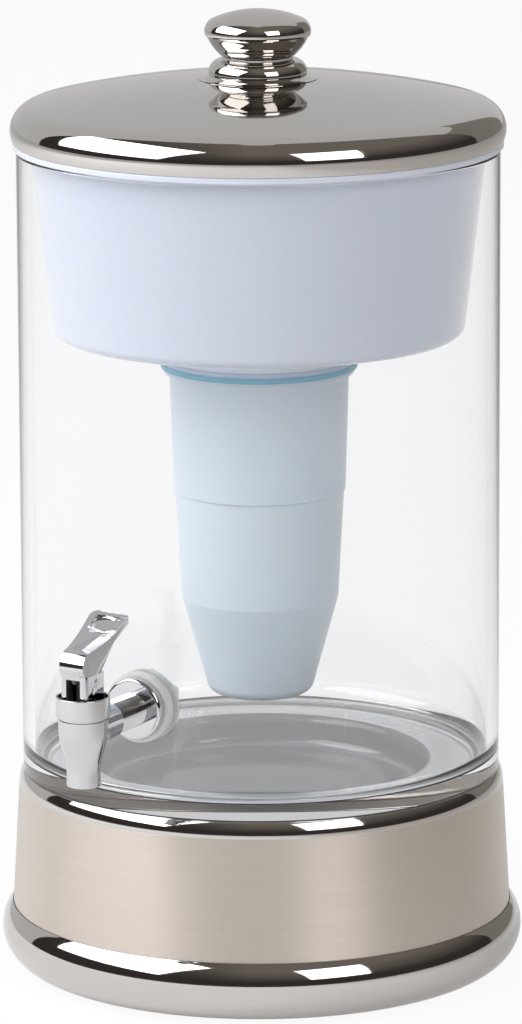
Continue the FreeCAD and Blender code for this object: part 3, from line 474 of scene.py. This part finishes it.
def moulded(name, dark, light, roughness, scale=12.0, skin=0.04, **sockets):
    """Plastic or rubber with a slow mottle and a fine moulded skin."""
    material, tree, shader = new_material(name, Roughness=roughness, **sockets)
    cloud = use_group(tree, mottle, {"Scale": scale, "Dark": (*dark, 1), "Light": (*light, 1)})
    tree.links.new(cloud.outputs["Colour"], shader.inputs["Base Color"])
    bump(tree, shader, cloud.outputs["Height"], skin, 0.0001)
    return material


def turned_metal(name, wall, floor, edge):
    """Drawn steel with fine rings and a slow swirl; above the given height its wall takes a darker
    colour than its floor, a painted reflection of the dark studio.
    """
    material, tree, shader = new_material(name, Metallic=1.0)
    rings = use_group(tree, turning, {"Rings": 420.0, "Low": 0.05, "High": 0.20})
    tree.links.new(rings.outputs["Roughness"], shader.inputs["Roughness"])
    split = add(tree, "ShaderNodeSeparateXYZ")
    tree.links.new(add(tree, "ShaderNodeTexCoord").outputs["Object"], split.inputs["Vector"])
    # Mask for the painted reflection: nought on the dish floor, one on its wall above the given height
    painted_wall_mask = add(tree, "ShaderNodeMapRange", {"From Min": edge - 0.003, "From Max": edge})
    tree.links.new(split.outputs["Z"], painted_wall_mask.inputs["Value"])
    tint = blend(tree, painted_wall_mask.outputs["Result"], floor, wall)
    shade = add(tree, "ShaderNodeMix", {"Factor": 1.0}, data_type="RGBA", blend_type="MULTIPLY")
    tree.links.new(tint.outputs["Result"], shade.inputs["A"])
    tree.links.new(rings.outputs["Shade"], shade.inputs["B"])
    tree.links.new(shade.outputs["Result"], shader.inputs["Base Color"])
    bump(tree, shader, rings.outputs["Height"], 0.08, 0.0001)
    return material


def granular(name, dark, light, roughness, scale, relief):
    """Bed of grains, beads or pores."""
    material, tree, shader = new_material(name, Roughness=roughness)
    cells = use_group(tree, grains, {"Scale": scale, "Dark": (*dark, 1), "Light": (*light, 1)})
    tree.links.new(cells.outputs["Colour"], shader.inputs["Base Color"])
    bump(tree, shader, cells.outputs["Height"], relief, 0.0005)
    return material


def see_through(name, colour, low, high, ior, blocked):
    """Clear solid that lets light fall on what stands behind it."""
    material, tree, shader = new_material(
        name, Base_Color=(*colour, 1), Transmission_Weight=1.0, IOR=ior)
    marks = use_group(tree, handling, {"Scale": 9.0, "Low": low, "High": high})
    tree.links.new(marks.outputs["Roughness"], shader.inputs["Roughness"])
    path = add(tree, "ShaderNodeLightPath")
    either = add(tree, "ShaderNodeMath", operation="MAXIMUM")
    tree.links.new(path.outputs["Is Shadow Ray"], either.inputs[0])
    tree.links.new(path.outputs["Is Diffuse Ray"], either.inputs[1])
    clear = add(tree, "ShaderNodeBsdfTransparent", {"Color": (*blocked, 1)})
    mix = add(tree, "ShaderNodeMixShader")
    tree.links.new(either.outputs[0], mix.inputs["Fac"])
    tree.links.new(shader.outputs["BSDF"], mix.inputs[1])
    tree.links.new(clear.outputs["BSDF"], mix.inputs[2])
    output = tree.nodes["Material Output"]
    tree.links.new(mix.outputs["Shader"], output.inputs["Surface"])
    return material


steel = polished_metal("polished_steel", (0.60, 0.575, 0.555), 0.035, 0.075)
# Ledge ring of the dish: satin roughness, and a near-white colour that is painted light for the bright
# ring seen through the glass base
ledge_painted_light = polished_metal("satin_steel_painted_light", (0.88, 0.88, 0.90), 0.20, 0.30, 30.0, 0.55)
# The dish: its floor colour, darker than the polished steel, is painted shade, and its near-black wall
# colour is a painted reflection of the dark studio
dish_steel_painted_shade = turned_metal("drawn_steel_painted_shade", (0.10, 0.096, 0.092), (0.40, 0.40, 0.415), 0.080)
brushed = brushed_metal("brushed_steel", (0.71, 0.64, 0.58))
chrome = polished_metal("chrome_plate", (0.62, 0.625, 0.64), 0.02, 0.05, 40.0)
zinc = polished_metal("zinc_plate", (0.55, 0.55, 0.54), 0.22, 0.38, 90.0)
glass = see_through("clear_glass", (0.967, 0.969, 0.977), 0.0, 0.012, 1.5, (0.93, 0.94, 0.94))
tub_plastic = moulded("tub_plastic", (0.635, 0.66, 0.775), (0.705, 0.73, 0.845), 0.16, 9.0, 0.02,
                      Coat_Weight=0.25, Coat_Roughness=0.05, Subsurface_Weight=0.25,
                      Subsurface_Scale=0.01)
# Lighter copy of the tub plastic for the collar: painted light that offsets the shade under the tub's
# overhang
collar_painted_light = moulded("collar_painted_light", (0.80, 0.83, 0.93), (0.86, 0.88, 0.97), 0.2, 9.0, 0.02)
filter_plastic = moulded("filter_plastic", (0.62, 0.68, 0.77), (0.69, 0.755, 0.84), 0.3, 14.0, 0.06,
                         Subsurface_Weight=0.15, Subsurface_Scale=0.01)
gasket_blue = moulded("gasket_silicone", (0.15, 0.44, 0.60), (0.20, 0.52, 0.68), 0.35, 60.0, 0.08)
# Pale blue for the gasket's upper lip: a painted highlight for the lit edge above the deep blue band
gasket_painted_highlight = moulded("gasket_lip_painted_highlight", (0.50, 0.64, 0.80), (0.58, 0.72, 0.88), 0.35, 60.0, 0.08)
nut_plastic = moulded("nut_plastic", (0.80, 0.80, 0.80), (0.87, 0.87, 0.87), 0.28, 60.0, 0.04,
                      Subsurface_Weight=0.2, Subsurface_Scale=0.004)
stem_plastic = moulded("stem_plastic", (0.035, 0.035, 0.038), (0.06, 0.06, 0.064), 0.35, 60.0, 0.05)
silicone = moulded("grey_silicone", (0.64, 0.65, 0.64), (0.75, 0.76, 0.75), 0.4, 60.0, 0.06,
                   Subsurface_Weight=0.3, Subsurface_Scale=0.004)
rubber = moulded("black_rubber", (0.02, 0.02, 0.02), (0.04, 0.04, 0.04), 0.7, 40.0, 0.3)
mesh_fabric = granular("mesh_fabric", (0.6, 0.6, 0.58), (0.85, 0.85, 0.82), 0.8, 1800.0, 0.5)
foam = granular("foam_pores", (0.55, 0.58, 0.60), (0.80, 0.82, 0.84), 0.9, 1300.0, 0.9)
carbon = granular("carbon_grains", (0.008, 0.008, 0.009), (0.05, 0.05, 0.05), 0.55, 900.0, 1.0)
resin = granular("resin_beads", (0.38, 0.22, 0.07), (0.72, 0.50, 0.22), 0.25, 1500.0, 1.0)


def finish_piece(piece, body, replaced, slot, *materials):
    """Dress a piece, let it ride on its body and stand for its solid."""
    for material in materials:
        piece.data.materials.append(material)
    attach(piece, body)
    if replaced:
        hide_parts(replaced)
    return piece


def dress(finishes):
    """Give the solids that keep their shape their finish."""
    for node, material in finishes.items():
        target = nodes[node]
        target.data.materials.clear()
        target.data.materials.append(material)
        target.data.shade_smooth()
        target.data.set_sharp_from_angle(angle=math.radians(30))


def choose_finish(piece, test):
    """Second material on the faces whose middle passes a test."""
    for face in piece.data.polygons:
        face.material_index = 1 if test(face.center) else 0


# Stand

skirt = lathe("skirt_shell", [
    (SKIRT_LOW, CREASE - 4),
    (SKIRT_TOP, SHOULDER_LEVEL, SHOULDER_BEND),
    (MOUTH + SHEET, LIP_LEVEL, SHEET),
    (MOUTH, LIP_LEVEL - SHEET),
    (MOUTH, SEAT - SHEET),
    (MOUTH - LEDGE, SEAT - SHEET),
    (MOUTH - LEDGE, SEAT - 2 * SHEET),
    (MOUTH + SHEET, SEAT - 2 * SHEET),
    (MOUTH + SHEET, SHOULDER_INNER_LEVEL, SHEET - SHOULDER_BEND),
    (SKIRT_TOP - SHEET, SHOULDER_LEVEL),
    (SKIRT_LOW - SHEET, CREASE - 4),
], turns=320)
finish_piece(skirt, "stand", "stand_skirt", "brushed_steel", steel, brushed)
choose_finish(skirt, lambda spot: (
    spot.z < SHOULDER_LEVEL * MM or spot.xy.length < (MOUTH + 0.02) * MM))

foot = lathe("foot_bead", [
    (FOOT_CENTRE - 9, PAD),
    (FOOT_CENTRE, PAD, FOOT_BEND),
    (SKIRT_LOW + GAP, CREASE),
    (SKIRT_LOW + GAP, CREASE_INNER, SHEET - FOOT_BEND),
    (FOOT_CENTRE, PAD + SHEET),
    (FOOT_CENTRE - 9, PAD + SHEET),
], turns=320)
finish_piece(foot, "stand", "stand_foot", "polished_steel", steel)

dish = lathe("pressed_dish", [
    (MOUTH - GAP, SEAT - GAP),
    (84, SEAT - GAP, 4.9),
    (79.1, SEAT - 5),
    (78.5, SEAT - 10, -6),
    (72.5, DISH_FLOOR),
    (51.2, DISH_FLOOR, -1.2),
    (50, DISH_FLOOR + 1.2, 1.2),
    (48.8, DISH_STEP),
    (0, DISH_STEP),
    (0, DISH_STEP - SHEET),
    (48.8, DISH_STEP - SHEET, -0.4),
    (49.2, DISH_FLOOR + 1.2, 2.0),
    (51.2, DISH_FLOOR - SHEET),
    (72.5, DISH_FLOOR - SHEET, 6.8),
    (79.3, SEAT - 10),
    (79.8, SEAT - 5, -4.2),
    (84, SEAT - SHEET),
    (MOUTH - GAP, SEAT - SHEET),
], turns=256)
finish_piece(dish, "stand", "stand_dish", "polished_steel", dish_steel_painted_shade, ledge_painted_light)
# The top faces of the dish take the pale ledge colour, which is painted light
choose_finish(dish, lambda spot: spot.z > (SEAT - 0.5) * MM)
dress({"foot_pad": rubber})

# Jar

jar = lathe("jar_glass", [
    (0, 0),
    (JAR_RADIUS - JAR_FOOT_BEND, 0, JAR_FOOT_BEND),
    (JAR_RADIUS, JAR_FOOT_BEND),
    (JAR_RADIUS, JAR_HEIGHT - JAR_RIM_BEND, JAR_RIM_BEND),
    (JAR_RADIUS - JAR_RIM_BEND, JAR_HEIGHT),
    (JAR_BORE + JAR_RIM_BEND, JAR_HEIGHT, JAR_RIM_BEND),
    (JAR_BORE, JAR_HEIGHT - JAR_RIM_BEND),
    (JAR_BORE, JAR_BASE + JAR_FLOOR_BEND, -JAR_FLOOR_BEND),
    (JAR_BORE - JAR_FLOOR_BEND, JAR_BASE),
    (0, JAR_BASE),
], level=SEAT, turns=320)
drill = lathe("jar_drill", [(0, 100), (TAP_HOLE, 100), (TAP_HOLE, 125), (0, 125)], turns=64,
              place=ALONG_SHANK)
combine(jar, drill, "DIFFERENCE")
finish_piece(jar, "jar", "glass_jar", "clear_glass", glass)

# Reservoir and filter

tub = lathe("tub_shell", [
    (42.8, COLLAR_LOW), (46, COLLAR_LOW), (46, TUB_FLOOR - 1.5, -1.5), (47.5, TUB_FLOOR),
    (92.94, TUB_FLOOR, 6), (98.9, -84.3),
    (108.8, 0), (115.6, 0, 1), (116.6, 1), (116.6, TUB_TOP - 1, 1), (115.6, TUB_TOP),
    (108.4, TUB_TOP), (108.4, TUB_RIDGE - 0.4, 0.4), (108.0, TUB_RIDGE),
    (106.8, TUB_RIDGE, 0.4), (106.4, TUB_RIDGE - 0.4),
    (106.4, 3.0), (96.52, -84.02, -3.6), (92.94, -87.2), (42.8, -87.2),
], level=JAR_RIM, turns=256)
finish_piece(tub, "reservoir", "reservoir_tub", "tub_plastic", tub_plastic, collar_painted_light)
# Faces below the tub floor, on the collar, take the lighter copy of the plastic: painted light
choose_finish(tub, lambda spot: spot.z < (JAR_RIM + TUB_FLOOR - 0.6) * MM)

gasket = lathe("gasket_ring", [
    (42.6, GASKET_LOW), (47.0, GASKET_LOW, 0.3), (47.3, GASKET_LOW + 0.3),
    (47.3, -2.3, 0.3), (47.0, -2.0), (46.6, -1.7),
    (46.6, 0), (42.6, 0),
], level=FILTER_LEVEL, turns=192)
finish_piece(gasket, "filter_carrier", "filter_gasket", "gasket_silicone", gasket_blue, gasket_painted_highlight)
# Faces above the lip level take the pale blue painted highlight
choose_finish(gasket, lambda spot: spot.z > (FILTER_LEVEL + GASKET_LIP) * MM)

sleeve = lathe("filter_upper", [
    (39.5, FILTER_JOINT), (41.1, FILTER_JOINT, 0.2), (41.3, FILTER_JOINT + 0.2),
    (43.05, -8.8, -2), (44.9, -6.8), (45.5, -6.8, 0.4), (45.9, -6.4),
    (45.9, GASKET_LOW - 0.4, 0.4), (45.5, GASKET_LOW),
    (42.5, GASKET_LOW), (42.5, 15.5), (40.1, 15.5),
], level=FILTER_LEVEL, turns=192)
finish_piece(sleeve, "filter", "filter_sleeve", "filter_plastic", filter_plastic)

cup = lathe("filter_lower", [
    (0, FILTER_BOTTOM), (19.2, FILTER_BOTTOM, 7), (26.0, -158.5), (37.5, -117.0, 4),
    (37.75, -115.6), (40.6, FILTER_JOINT - 0.4), (40.4, FILTER_JOINT),
    (39.4, FILTER_JOINT), (39.4, FILTER_JOINT + 6), (37.6, FILTER_JOINT + 6), (35.9, -116.1),
    (22.8, FILTER_BOTTOM + 1.8), (0, FILTER_BOTTOM + 1.8),
], level=FILTER_LEVEL, turns=192)
for count in range(6):
    turn = Matrix.Rotation(math.radians(60 * count), 4, "Z")
    hole = lathe("outlet_drill", [(0, -3), (2.2, -3), (2.2, 6), (0, 6)], turns=32,
                 place=turn @ Matrix.Translation((9 * MM, 0, (FILTER_LEVEL + FILTER_BOTTOM) * MM)))
    combine(cup, hole, "DIFFERENCE")
finish_piece(cup, "filter", "filter_cup", "filter_plastic", filter_plastic)
dress({
    "filter_cap": filter_plastic, "inlet_mesh": mesh_fabric, "foam_disc": foam,
    "carbon_bed": carbon, "resin_bed": resin, "outlet_mesh": mesh_fabric,
})

# Lid

tangent_share = DOME_BEND / (DOME_BEND - ROLL)
inner_share = (DOME_BEND - SHEET) / (DOME_BEND - ROLL)
outer_hem = ROLL_RADIUS + math.sqrt(ROLL ** 2 - ROLL_LEVEL ** 2)
inner_hem = ROLL_RADIUS + math.sqrt((ROLL - SHEET) ** 2 - (ROLL_LEVEL - SHEET) ** 2)
lid = lathe("lid_dome", [
    (108.9, 0),
    (outer_hem, 0, ROLL),
    (ROLL_RADIUS * tangent_share, DOME_CENTRE + (ROLL_LEVEL - DOME_CENTRE) * tangent_share,
     DOME_BEND),
    (SCREW_HOLE, DOME_CENTRE + math.sqrt(DOME_BEND ** 2 - SCREW_HOLE ** 2)),
    (SCREW_HOLE, DOME_CENTRE + math.sqrt((DOME_BEND - SHEET) ** 2 - SCREW_HOLE ** 2),
     SHEET - DOME_BEND),
    (ROLL_RADIUS * inner_share, DOME_CENTRE + (ROLL_LEVEL - DOME_CENTRE) * inner_share,
     SHEET - ROLL),
    (inner_hem, SHEET),
    (108.9, SHEET),
], level=LID_LEVEL, turns=320)
finish_piece(lid, "lid", "lid_shell", "polished_steel", steel)

knob = lathe("turned_knob", [
    (2.2, 0.045, -473.08), (28.4, -0.803), (28.4, -0.6, -9), (23.4, 1.0, 6.5), (16.8, 8.6),
    (16.8, 9.6, 26), (24.0, 18.8), (25.0, 19.8, 6.6), (22.4, 27.1, 53.65), (0, 32.0),
    (0, 14), (2.2, 14),
], level=KNOB_LEVEL, turns=256, sharp=24)
finish_piece(knob, "lid", "lid_knob", "polished_steel", steel)
dress({"knob_washer": zinc, "knob_screw": zinc})

# Tap

spout = lathe("tap_casting", [
    (5.4, -25.8, 0.3), (5.7, -26.1), (7.35, -26.1, 0.6), (7.95, -25.5),
    (7.85, -20.8, -31.8), (9.75, -8.8, 27.7), (11.4, -0.3), (11.5, 5.6), (10.9, 5.6),
    (10.9, 10.7),
    (9.1, 10.7), (9.1, 9.5), (7.5, 9.5), (7.5, -6), (4, -6), (4, -9), (5.4, -9),
], turns=160, place=AT_TAP)
shank = lathe("tap_shank", [
    (0, 98), (7.2, 98), (7.2, 145.7), (8.6, 145.7, 0.3), (8.9, 146.0), (8.9, 159.9), (0, 159.9),
], turns=128, place=ALONG_SHANK)
combine(spout, shank, "UNION")
thread = screw_thread("shank_thread", 7.1, 8.0, 1.5, 98.2, 145.5, 96, ALONG_SHANK)
combine(spout, thread, "UNION")
groove = lathe("bonnet_groove", [(10.9, 5.6), (12.9, 5.6), (12.9, 11), (10.9, 11)], turns=160,
               place=AT_TAP)
combine(spout, groove, "DIFFERENCE")
chamber = lathe("chamber_drill", [(0, -5.9), (7.5, -5.9), (7.5, 9.4), (0, 9.4)], turns=96,
                place=AT_TAP)
combine(spout, chamber, "DIFFERENCE")
bore = lathe("shank_drill", [(0, 90), (4, 90), (4, 164), (0, 164)], turns=64, place=ALONG_SHANK)
combine(spout, bore, "DIFFERENCE")
finish_piece(spout, "jar", "tap_body", "chrome", chrome)

flange = lathe("tap_collar", [
    (8.05, 118.2), (14.4, 118.2, 0.4), (14.8, 118.6), (14.8, 121.6, 1.6), (13.2, 123.2),
    (8.05, 123.2),
], turns=160, place=ALONG_SHANK)
finish_piece(flange, "jar", "tap_flange", "chrome", chrome)

bonnet = lathe("tap_cap", [
    (10.95, 6.8), (12.2, 6.8, 0.4), (12.6, 7.2), (12.6, 16.1, 0.4), (12.2, 16.5), (12.0, 16.5, 0.4),
    (11.6, 16.1), (11.6, 12.3), (3.05, 12.3), (3.05, 10.7), (10.95, 10.7),
], turns=160, place=AT_TAP)
finish_piece(bonnet, "jar", "tap_bonnet", "chrome", chrome)

lever = slab("tap_lever_arm", [
    (3, 27.2), (-8.7, 27.2), (-10.4, 30.2, -9), (-7, 37.9, 90), (27, 50.5), (27, 48.3), (13.4, 40),
], -10.4, 10.4, place=TAP_SIDE)
plan = slab("lever_plan", [
    (-6.3, -15.7), (6.3, -15.7), (6.3, -7), (10.4, 23.5, 3.5), (6.9, 27), (-6.9, 27, 3.5),
    (-10.4, 23.5), (-6.3, -7),
], 20, 60, place=AT_TAP)
combine(lever, plan, "INTERSECT")
block = slab("lever_block", [
    (4.7, 12.6, 4), (8.7, 16.6), (8.7, 27.4), (-8.7, 27.4), (-8.7, 15.6, 3), (-5.7, 12.6),
], -7, 7, place=TAP_SIDE)
corners = slab("lever_corners", [
    (-5, -8.7), (5, -8.7, 2), (7, -6.7), (7, 6.7, 2), (5, 8.7), (-5, 8.7, 2), (-7, 6.7),
    (-7, -6.7, 2),
], 10, 27.2, place=AT_TAP)
combine(block, corners, "INTERSECT")
combine(lever, block, "UNION")
slot_cut = slab("lever_slot", [
    (-18, 12), (3.6, 12), (3.6, 25.5), (-18, 25.5),
], -3.7, 3.7, place=TAP_SIDE)
combine(lever, slot_cut, "DIFFERENCE")
pin_cut = lathe("pin_drill", [(0, -9), (1.2, -9), (1.2, 9), (0, 9)], turns=32, place=(
    Matrix.Translation((0, -TAP_REACH * MM, PIN_LEVEL * MM)) @ Matrix.Rotation(math.pi / 2, 4, "Y")))
combine(lever, pin_cut, "DIFFERENCE")
thumb = lathe("thumb_press", [(0, -1, 1), (1, 0, 1), (0, 1)], turns=96, place=(
    AT_TAP @ Matrix.Translation((0, 19.2 * MM, 46.1 * MM)) @ Matrix.Rotation(math.radians(27), 4, "X")
    @ Matrix.Diagonal((6.5, 5.8, 0.9, 1))))
combine(lever, thumb, "DIFFERENCE")
soften(lever, 0.35)
finish_piece(lever, "lever", "tap_lever", "chrome", chrome)
dress({
    "lever_pin": zinc, "tap_stem": stem_plastic, "tap_seat_cup": silicone,
    "tap_outer_washer": silicone, "tap_inner_washer": silicone, "tap_nut": nut_plastic,
})

# Studio

CAMERA_AROUND = math.radians(29.2)
CAMERA_DOWN = math.radians(12.2)
CAMERA_TILT = math.radians(-0.27)
CAMERA_AWAY = 2.9757
CAMERA_HEIGHT = 0.8645
CAMERA_FOCUS = 6335
CAMERA_SHIFT = 1.1
PICTURE_HEIGHT = 1024
SENSOR_WIDTH = 36
LOOK_LEVEL = 0.2
WALL_AWAY = 7.0
WALL_STEP_AROUND = 6
WALL_STEP_UP = 3
FLOOR_RADIUS = 30
HALL_LOW = (0.045, 0.038, 0.036)
HALL_HIGH = (0.20, 0.18, 0.155)
HALL_IN_GLASS = (0.24, 0.235, 0.235)
DIM_GREY = (0.25, 0.232, 0.212)
FLOOR_LEFT = (0.9, 0.9, 0.9)
# Floor paint to the right of the object is darker: painted shade for its shadow and the dimmer light
# there
FLOOR_RIGHT_PAINTED_SHADE = (0.52, 0.48, 0.44)
FLOOR_GLOW = 0.92
FLOOR_GLOW_IN_METAL = 0.25
WORLD_LIGHT = 0.39
WORLD_MORE_IN_METAL = 0.22

camera_data = bpy.data.cameras.new("camera")
camera_data.lens = CAMERA_FOCUS / PICTURE_HEIGHT * SENSOR_WIDTH
camera_data.sensor_width = SENSOR_WIDTH
camera_data.shift_x = CAMERA_SHIFT / PICTURE_HEIGHT
camera_data.clip_end = 60
camera = bpy.data.objects.new("camera", camera_data)
camera.matrix_world = (
    Matrix.Translation((CAMERA_AWAY * math.sin(CAMERA_AROUND),
                        -CAMERA_AWAY * math.cos(CAMERA_AROUND), CAMERA_HEIGHT))
    @ Matrix.Rotation(CAMERA_AROUND, 4, "Z")
    @ Matrix.Rotation(math.pi / 2 - CAMERA_DOWN, 4, "X")
    @ Matrix.Rotation(CAMERA_TILT, 4, "Z")
)
bpy.context.scene.collection.objects.link(camera)
bpy.context.scene.camera = camera


def toward(around, up, away):
    """Point at an angle right of the camera and above the floor."""
    heading = CAMERA_AROUND + math.radians(around)
    rise = math.radians(up)
    return Vector((math.sin(heading) * math.cos(rise) * away,
                   -math.cos(heading) * math.cos(rise) * away,
                   math.sin(rise) * away + LOOK_LEVEL))


def softbox(name, around, up, away, width, height, power):
    """Square lamp that faces the object."""
    lamp = bpy.data.lights.new(name, "AREA")
    lamp.shape = "RECTANGLE"
    lamp.size = width
    lamp.size_y = height
    lamp.energy = power
    holder = bpy.data.objects.new(name, lamp)
    spot = toward(around, up, away)
    aim = (Vector((0, 0, LOOK_LEVEL)) - spot).to_track_quat("-Z", "Y")
    holder.matrix_world = Matrix.Translation(spot) @ aim.to_matrix().to_4x4()
    bpy.context.scene.collection.objects.link(holder)


softbox("softbox_left", -75, 38, 2.2, 2.5, 1.7, 53)
softbox("softbox_right", 35, 30, 3.2, 1.55, 1.7, 26)


def emission(name, colour, strength):
    """Plain glowing material for the studio."""
    material = bpy.data.materials.new(name)
    material.use_nodes = True
    tree = material.node_tree
    tree.nodes.remove(tree.nodes["Principled BSDF"])
    glow = add(tree, "ShaderNodeEmission", {"Color": (*colour, 1), "Strength": strength})
    tree.links.new(glow.outputs["Emission"], tree.nodes["Material Output"].inputs["Surface"])
    return material, tree, glow


def from_left_to_right(tree, place, first, last):
    """Rises from nought to one between two distances right of the camera's middle line."""
    right = (math.cos(CAMERA_AROUND), math.sin(CAMERA_AROUND), 0)
    across = add(tree, "ShaderNodeVectorMath", {1: right}, operation="DOT_PRODUCT")
    tree.links.new(place.outputs["Object"], across.inputs[0])
    side = add(tree, "ShaderNodeMapRange", {"From Min": first, "From Max": last})
    tree.links.new(across.outputs["Value"], side.inputs["Value"])
    return side.outputs["Result"]


def hall_material():
    """Dark near the horizon, dim warm grey overhead and to the right, grey through glass."""
    material, tree, glow = emission("hall_dark", HALL_LOW, 1.0)
    place = add(tree, "ShaderNodeTexCoord")
    split = add(tree, "ShaderNodeSeparateXYZ")
    tree.links.new(place.outputs["Object"], split.inputs["Vector"])
    rise = add(tree, "ShaderNodeMapRange", {"From Min": 1.6, "From Max": 5.2})
    tree.links.new(split.outputs["Z"], rise.inputs["Value"])
    both = add(tree, "ShaderNodeMath", operation="MULTIPLY")
    tree.links.new(rise.outputs["Result"], both.inputs[0])
    tree.links.new(from_left_to_right(tree, place, -4.5, -0.5), both.inputs[1])
    tint = blend(tree, both.outputs[0], HALL_LOW, HALL_HIGH)
    path = add(tree, "ShaderNodeLightPath")
    inside = blend(tree, path.outputs["Is Transmission Ray"], HALL_LOW, HALL_IN_GLASS)
    tree.links.new(tint.outputs["Result"], inside.inputs["A"])
    tree.links.new(inside.outputs["Result"], glow.inputs["Color"])
    return material


def studio_wall(name, first, last, top, material):
    """Part of the studio that only polished metal and glass show."""
    work = bmesh.new()
    rows = []
    for up in range(-1, top, WALL_STEP_UP):
        rows.append([
            work.verts.new(toward(around, up, WALL_AWAY))
            for around in range(first, last + 1, WALL_STEP_AROUND)
        ])
    for low, high in zip(rows, rows[1:]):
        for index in range(len(low) - 1):
            work.faces.new([low[index], low[index + 1], high[index + 1], high[index]])
    mesh = bpy.data.meshes.new(name)
    work.to_mesh(mesh)
    work.free()
    wall = new_object(name, mesh)
    mesh.materials.append(material)
    wall.visible_camera = False
    wall.visible_diffuse = False
    wall.visible_shadow = False
    return wall


studio_wall("dark_hall", -120, 120, 87, hall_material())
dim_wall = studio_wall("dim_wall", 120, 156, 40, emission("wall_dim", DIM_GREY, 1.0)[0])
dim_wall.visible_transmission = False


def studio_floor():
    """Wide pale floor that stays white to the eye and keeps a soft shadow; its paint darkens to the
    right of the object, painted shade that metal reflects.
    """
    work = bmesh.new()
    bmesh.ops.create_circle(work, cap_ends=True, radius=FLOOR_RADIUS, segments=64)
    mesh = bpy.data.meshes.new("studio_floor")
    work.to_mesh(mesh)
    work.free()
    floor = new_object("studio_floor", mesh)
    material, tree, glow = emission("floor_white", (1, 1, 1), 1.0)
    paint = add(tree, "ShaderNodeBsdfDiffuse")
    # The paint darkens to the right: painted shade, seen mostly in polished metal
    side = from_left_to_right(tree, add(tree, "ShaderNodeTexCoord"), 0.12, 0.6)
    tint = blend(tree, side, FLOOR_LEFT, FLOOR_RIGHT_PAINTED_SHADE)
    tree.links.new(tint.outputs["Result"], paint.inputs["Color"])
    path = add(tree, "ShaderNodeLightPath")
    seen = add(tree, "ShaderNodeMath", operation="MAXIMUM")
    share = add(tree, "ShaderNodeMath", {1: FLOOR_GLOW}, operation="MULTIPLY")
    tree.links.new(path.outputs["Is Camera Ray"], seen.inputs[0])
    tree.links.new(path.outputs["Is Transmission Ray"], seen.inputs[1])
    tree.links.new(seen.outputs[0], share.inputs[0])
    mirrored = add(tree, "ShaderNodeMath", {1: FLOOR_GLOW_IN_METAL}, operation="MULTIPLY")
    tree.links.new(path.outputs["Is Glossy Ray"], mirrored.inputs[0])
    most = add(tree, "ShaderNodeMath", operation="MAXIMUM")
    tree.links.new(share.outputs[0], most.inputs[0])
    tree.links.new(mirrored.outputs[0], most.inputs[1])
    mix = add(tree, "ShaderNodeMixShader")
    tree.links.new(most.outputs[0], mix.inputs["Fac"])
    tree.links.new(paint.outputs["BSDF"], mix.inputs[1])
    tree.links.new(glow.outputs["Emission"], mix.inputs[2])
    tree.links.new(mix.outputs["Shader"], tree.nodes["Material Output"].inputs["Surface"])
    mesh.materials.append(material)


studio_floor()


def studio_world():
    """White surroundings; dimmer in metal and glass, and dimmer still as light."""
    world = bpy.data.worlds.new("studio")
    bpy.context.scene.world = world
    world.use_nodes = True
    tree = world.node_tree
    back = tree.nodes["Background"]
    back.inputs["Color"].default_value = (1, 1, 1, 1)
    path = add(tree, "ShaderNodeLightPath")
    mirrored = add(tree, "ShaderNodeMath", operation="MAXIMUM")
    tree.links.new(path.outputs["Is Glossy Ray"], mirrored.inputs[0])
    tree.links.new(path.outputs["Is Transmission Ray"], mirrored.inputs[1])
    lit = add(tree, "ShaderNodeMath", {1: WORLD_MORE_IN_METAL, 2: WORLD_LIGHT},
              operation="MULTIPLY_ADD")
    tree.links.new(mirrored.outputs[0], lit.inputs[0])
    level = add(tree, "ShaderNodeMath", operation="MAXIMUM")
    tree.links.new(path.outputs["Is Camera Ray"], level.inputs[0])
    tree.links.new(lit.outputs[0], level.inputs[1])
    tree.links.new(level.outputs[0], back.inputs["Strength"])


studio_world()
bpy.context.scene.view_settings.view_transform = "Standard"
